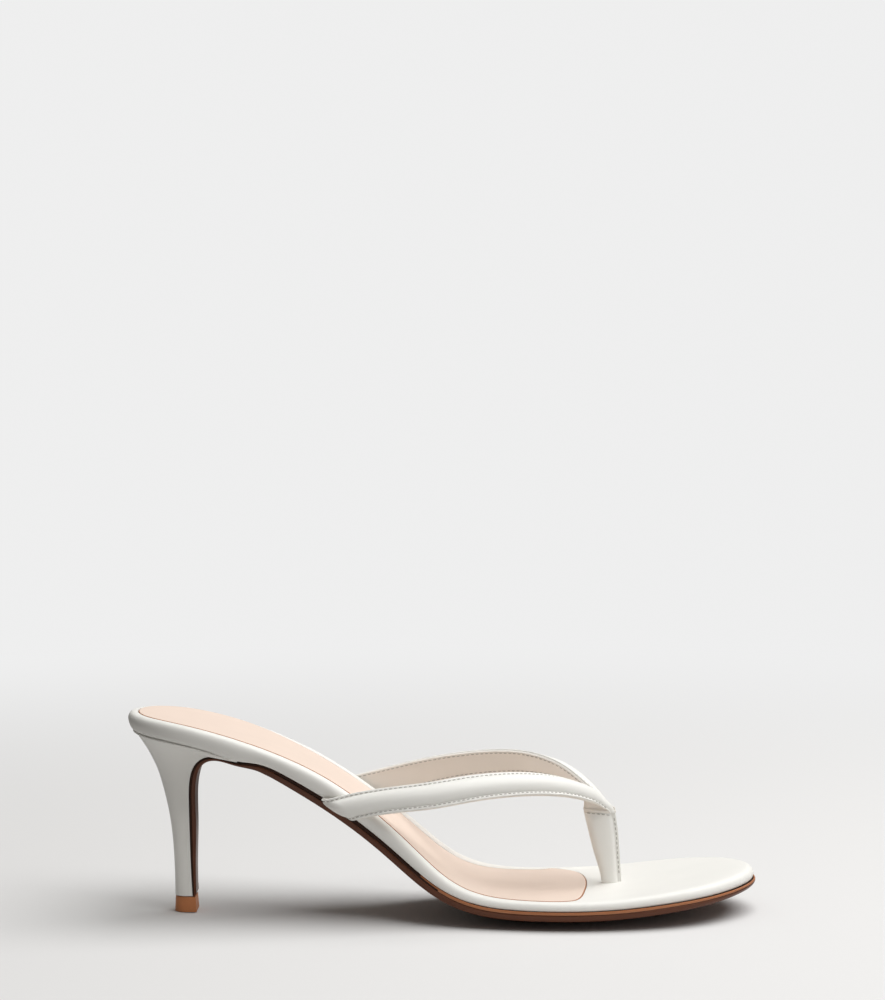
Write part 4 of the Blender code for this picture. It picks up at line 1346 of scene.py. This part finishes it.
def floor_paint(stage):
    """Pale matt paint: even and bright to the eye, dimmer in the light that it throws back up."""
    made = bpy.data.materials.new("floor_paint")
    made.use_nodes = True
    tree = made.node_tree
    near = tree.nodes["Principled BSDF"]
    near.inputs["Base Color"].default_value = stage.floor
    near.inputs["Roughness"].default_value = 0.7
    near.inputs["Specular IOR Level"].default_value = 0.1
    far = node(tree, "ShaderNodeEmission", {"Color": stage.backdrop})
    bounce = node(tree, "ShaderNodeBsdfDiffuse", {"Color": stage.bounce})
    dim = node(tree, "ShaderNodeBsdfDiffuse", {"Color": stage.dim})
    path = node(tree, "ShaderNodeLightPath")
    place = node(tree, "ShaderNodeTexCoord")
    reach = node(tree, "ShaderNodeVectorMath", operation="LENGTH")
    wire(tree, (place.outputs["Object"], reach.inputs[0]))

    def fade(start, end):
        """0 nearer the floor's middle than start and 1 beyond end, in metres."""
        step = node(
            tree, "ShaderNodeMapRange", {"From Min": start, "From Max": end}, interpolation_type="SMOOTHSTEP"
        )
        wire(tree, (reach.outputs["Value"], step.inputs["Value"]))
        return step.outputs["Result"]

    seen = blended(tree, fade(*FLOOR_FADE), near.outputs["BSDF"], far.outputs["Emission"])
    thrown = blended(tree, fade(*BOUNCE_FADE), bounce.outputs["BSDF"], dim.outputs["BSDF"])
    whole = blended(tree, path.outputs["Is Camera Ray"], thrown, seen)
    wire(tree, (whole, tree.nodes["Material Output"].inputs["Surface"]))
    return made


def studio(stage):
    """A bright backdrop to the eye, and a dimmer, warmer fill on the shoe."""
    made = bpy.data.worlds.new("studio")
    made.use_nodes = True
    tree = made.node_tree
    fill = tree.nodes["Background"]
    fill.inputs["Color"].default_value = stage.fill_colour
    fill.inputs["Strength"].default_value = stage.fill
    backdrop = node(tree, "ShaderNodeBackground", {"Color": stage.backdrop})
    path = node(tree, "ShaderNodeLightPath")
    whole = blended(
        tree, path.outputs["Is Camera Ray"], fill.outputs["Background"], backdrop.outputs["Background"]
    )
    wire(tree, (whole, tree.nodes["World Output"].inputs["Surface"]))
    return made


class SANDAL_OT_stage(bpy.types.Operator):
    """Set the floor, the soft light and the camera"""

    bl_idname = "sandal.stage"
    bl_label = "Stage"

    def execute(self, context):
        stage = context.scene.sandal_stage
        bpy.ops.mesh.primitive_plane_add(size=FLOOR_SIZE, location=(0.0, 0.0, -FLOOR_DROP))
        floor = context.object
        floor.name = "floor"
        floor.data.materials.append(floor_paint(stage))
        context.scene.world = studio(stage)
        area_light("top_light", *TOP_LIGHT, stage.top)
        area_light("front_light", *FRONT_LIGHT, stage.front)
        context.scene.view_settings.view_transform = "Standard"
        camera_data = bpy.data.cameras.new("camera")
        camera_data.lens = stage.lens
        camera_data.clip_end = 50.0
        camera = bpy.data.objects.new("camera", camera_data)
        context.collection.objects.link(camera)
        camera.location = CAMERA_PLACE
        camera.rotation_euler = [radians(angle) for angle in CAMERA_TURN]
        context.scene.camera = camera
        return {"FINISHED"}


STEPS = ("stage", "footbed", "sock", "sole", "heel", "straps", "stitching")
HOLDERS = {"sandal_colours": SandalColours, "sandal_sewing": SandalSewing, "sandal_stage": SandalStage}


class SANDAL_PT_sidebar(bpy.types.Panel):
    """Sandal pieces, colours and stage."""

    bl_idname = "SANDAL_PT_sidebar"
    bl_label = "Sandal"
    bl_space_type = "VIEW_3D"
    bl_region_type = "UI"
    bl_category = "Sandal"

    def draw(self, context):
        for step in STEPS:
            self.layout.operator(f"sandal.{step}")
        for holder in HOLDERS:
            group = getattr(context.scene, holder)
            for key in group.__annotations__:
                self.layout.prop(group, key)


CLASSES = (
    *HOLDERS.values(), SANDAL_OT_stage, SANDAL_OT_footbed, SANDAL_OT_sock,
    SANDAL_OT_sole, SANDAL_OT_heel, SANDAL_OT_straps, SANDAL_OT_stitching, SANDAL_PT_sidebar,
)


def register():
    for made in CLASSES:
        bpy.utils.register_class(made)
    for holder, group in HOLDERS.items():
        setattr(bpy.types.Scene, holder, bpy.props.PointerProperty(type=group))


def unregister():
    for holder in HOLDERS:
        delattr(bpy.types.Scene, holder)
    for made in reversed(CLASSES):
        bpy.utils.unregister_class(made)


def main():
    register()
    for step in STEPS:
        getattr(bpy.ops.sandal, step)()


if __name__ == "__main__":
    main()
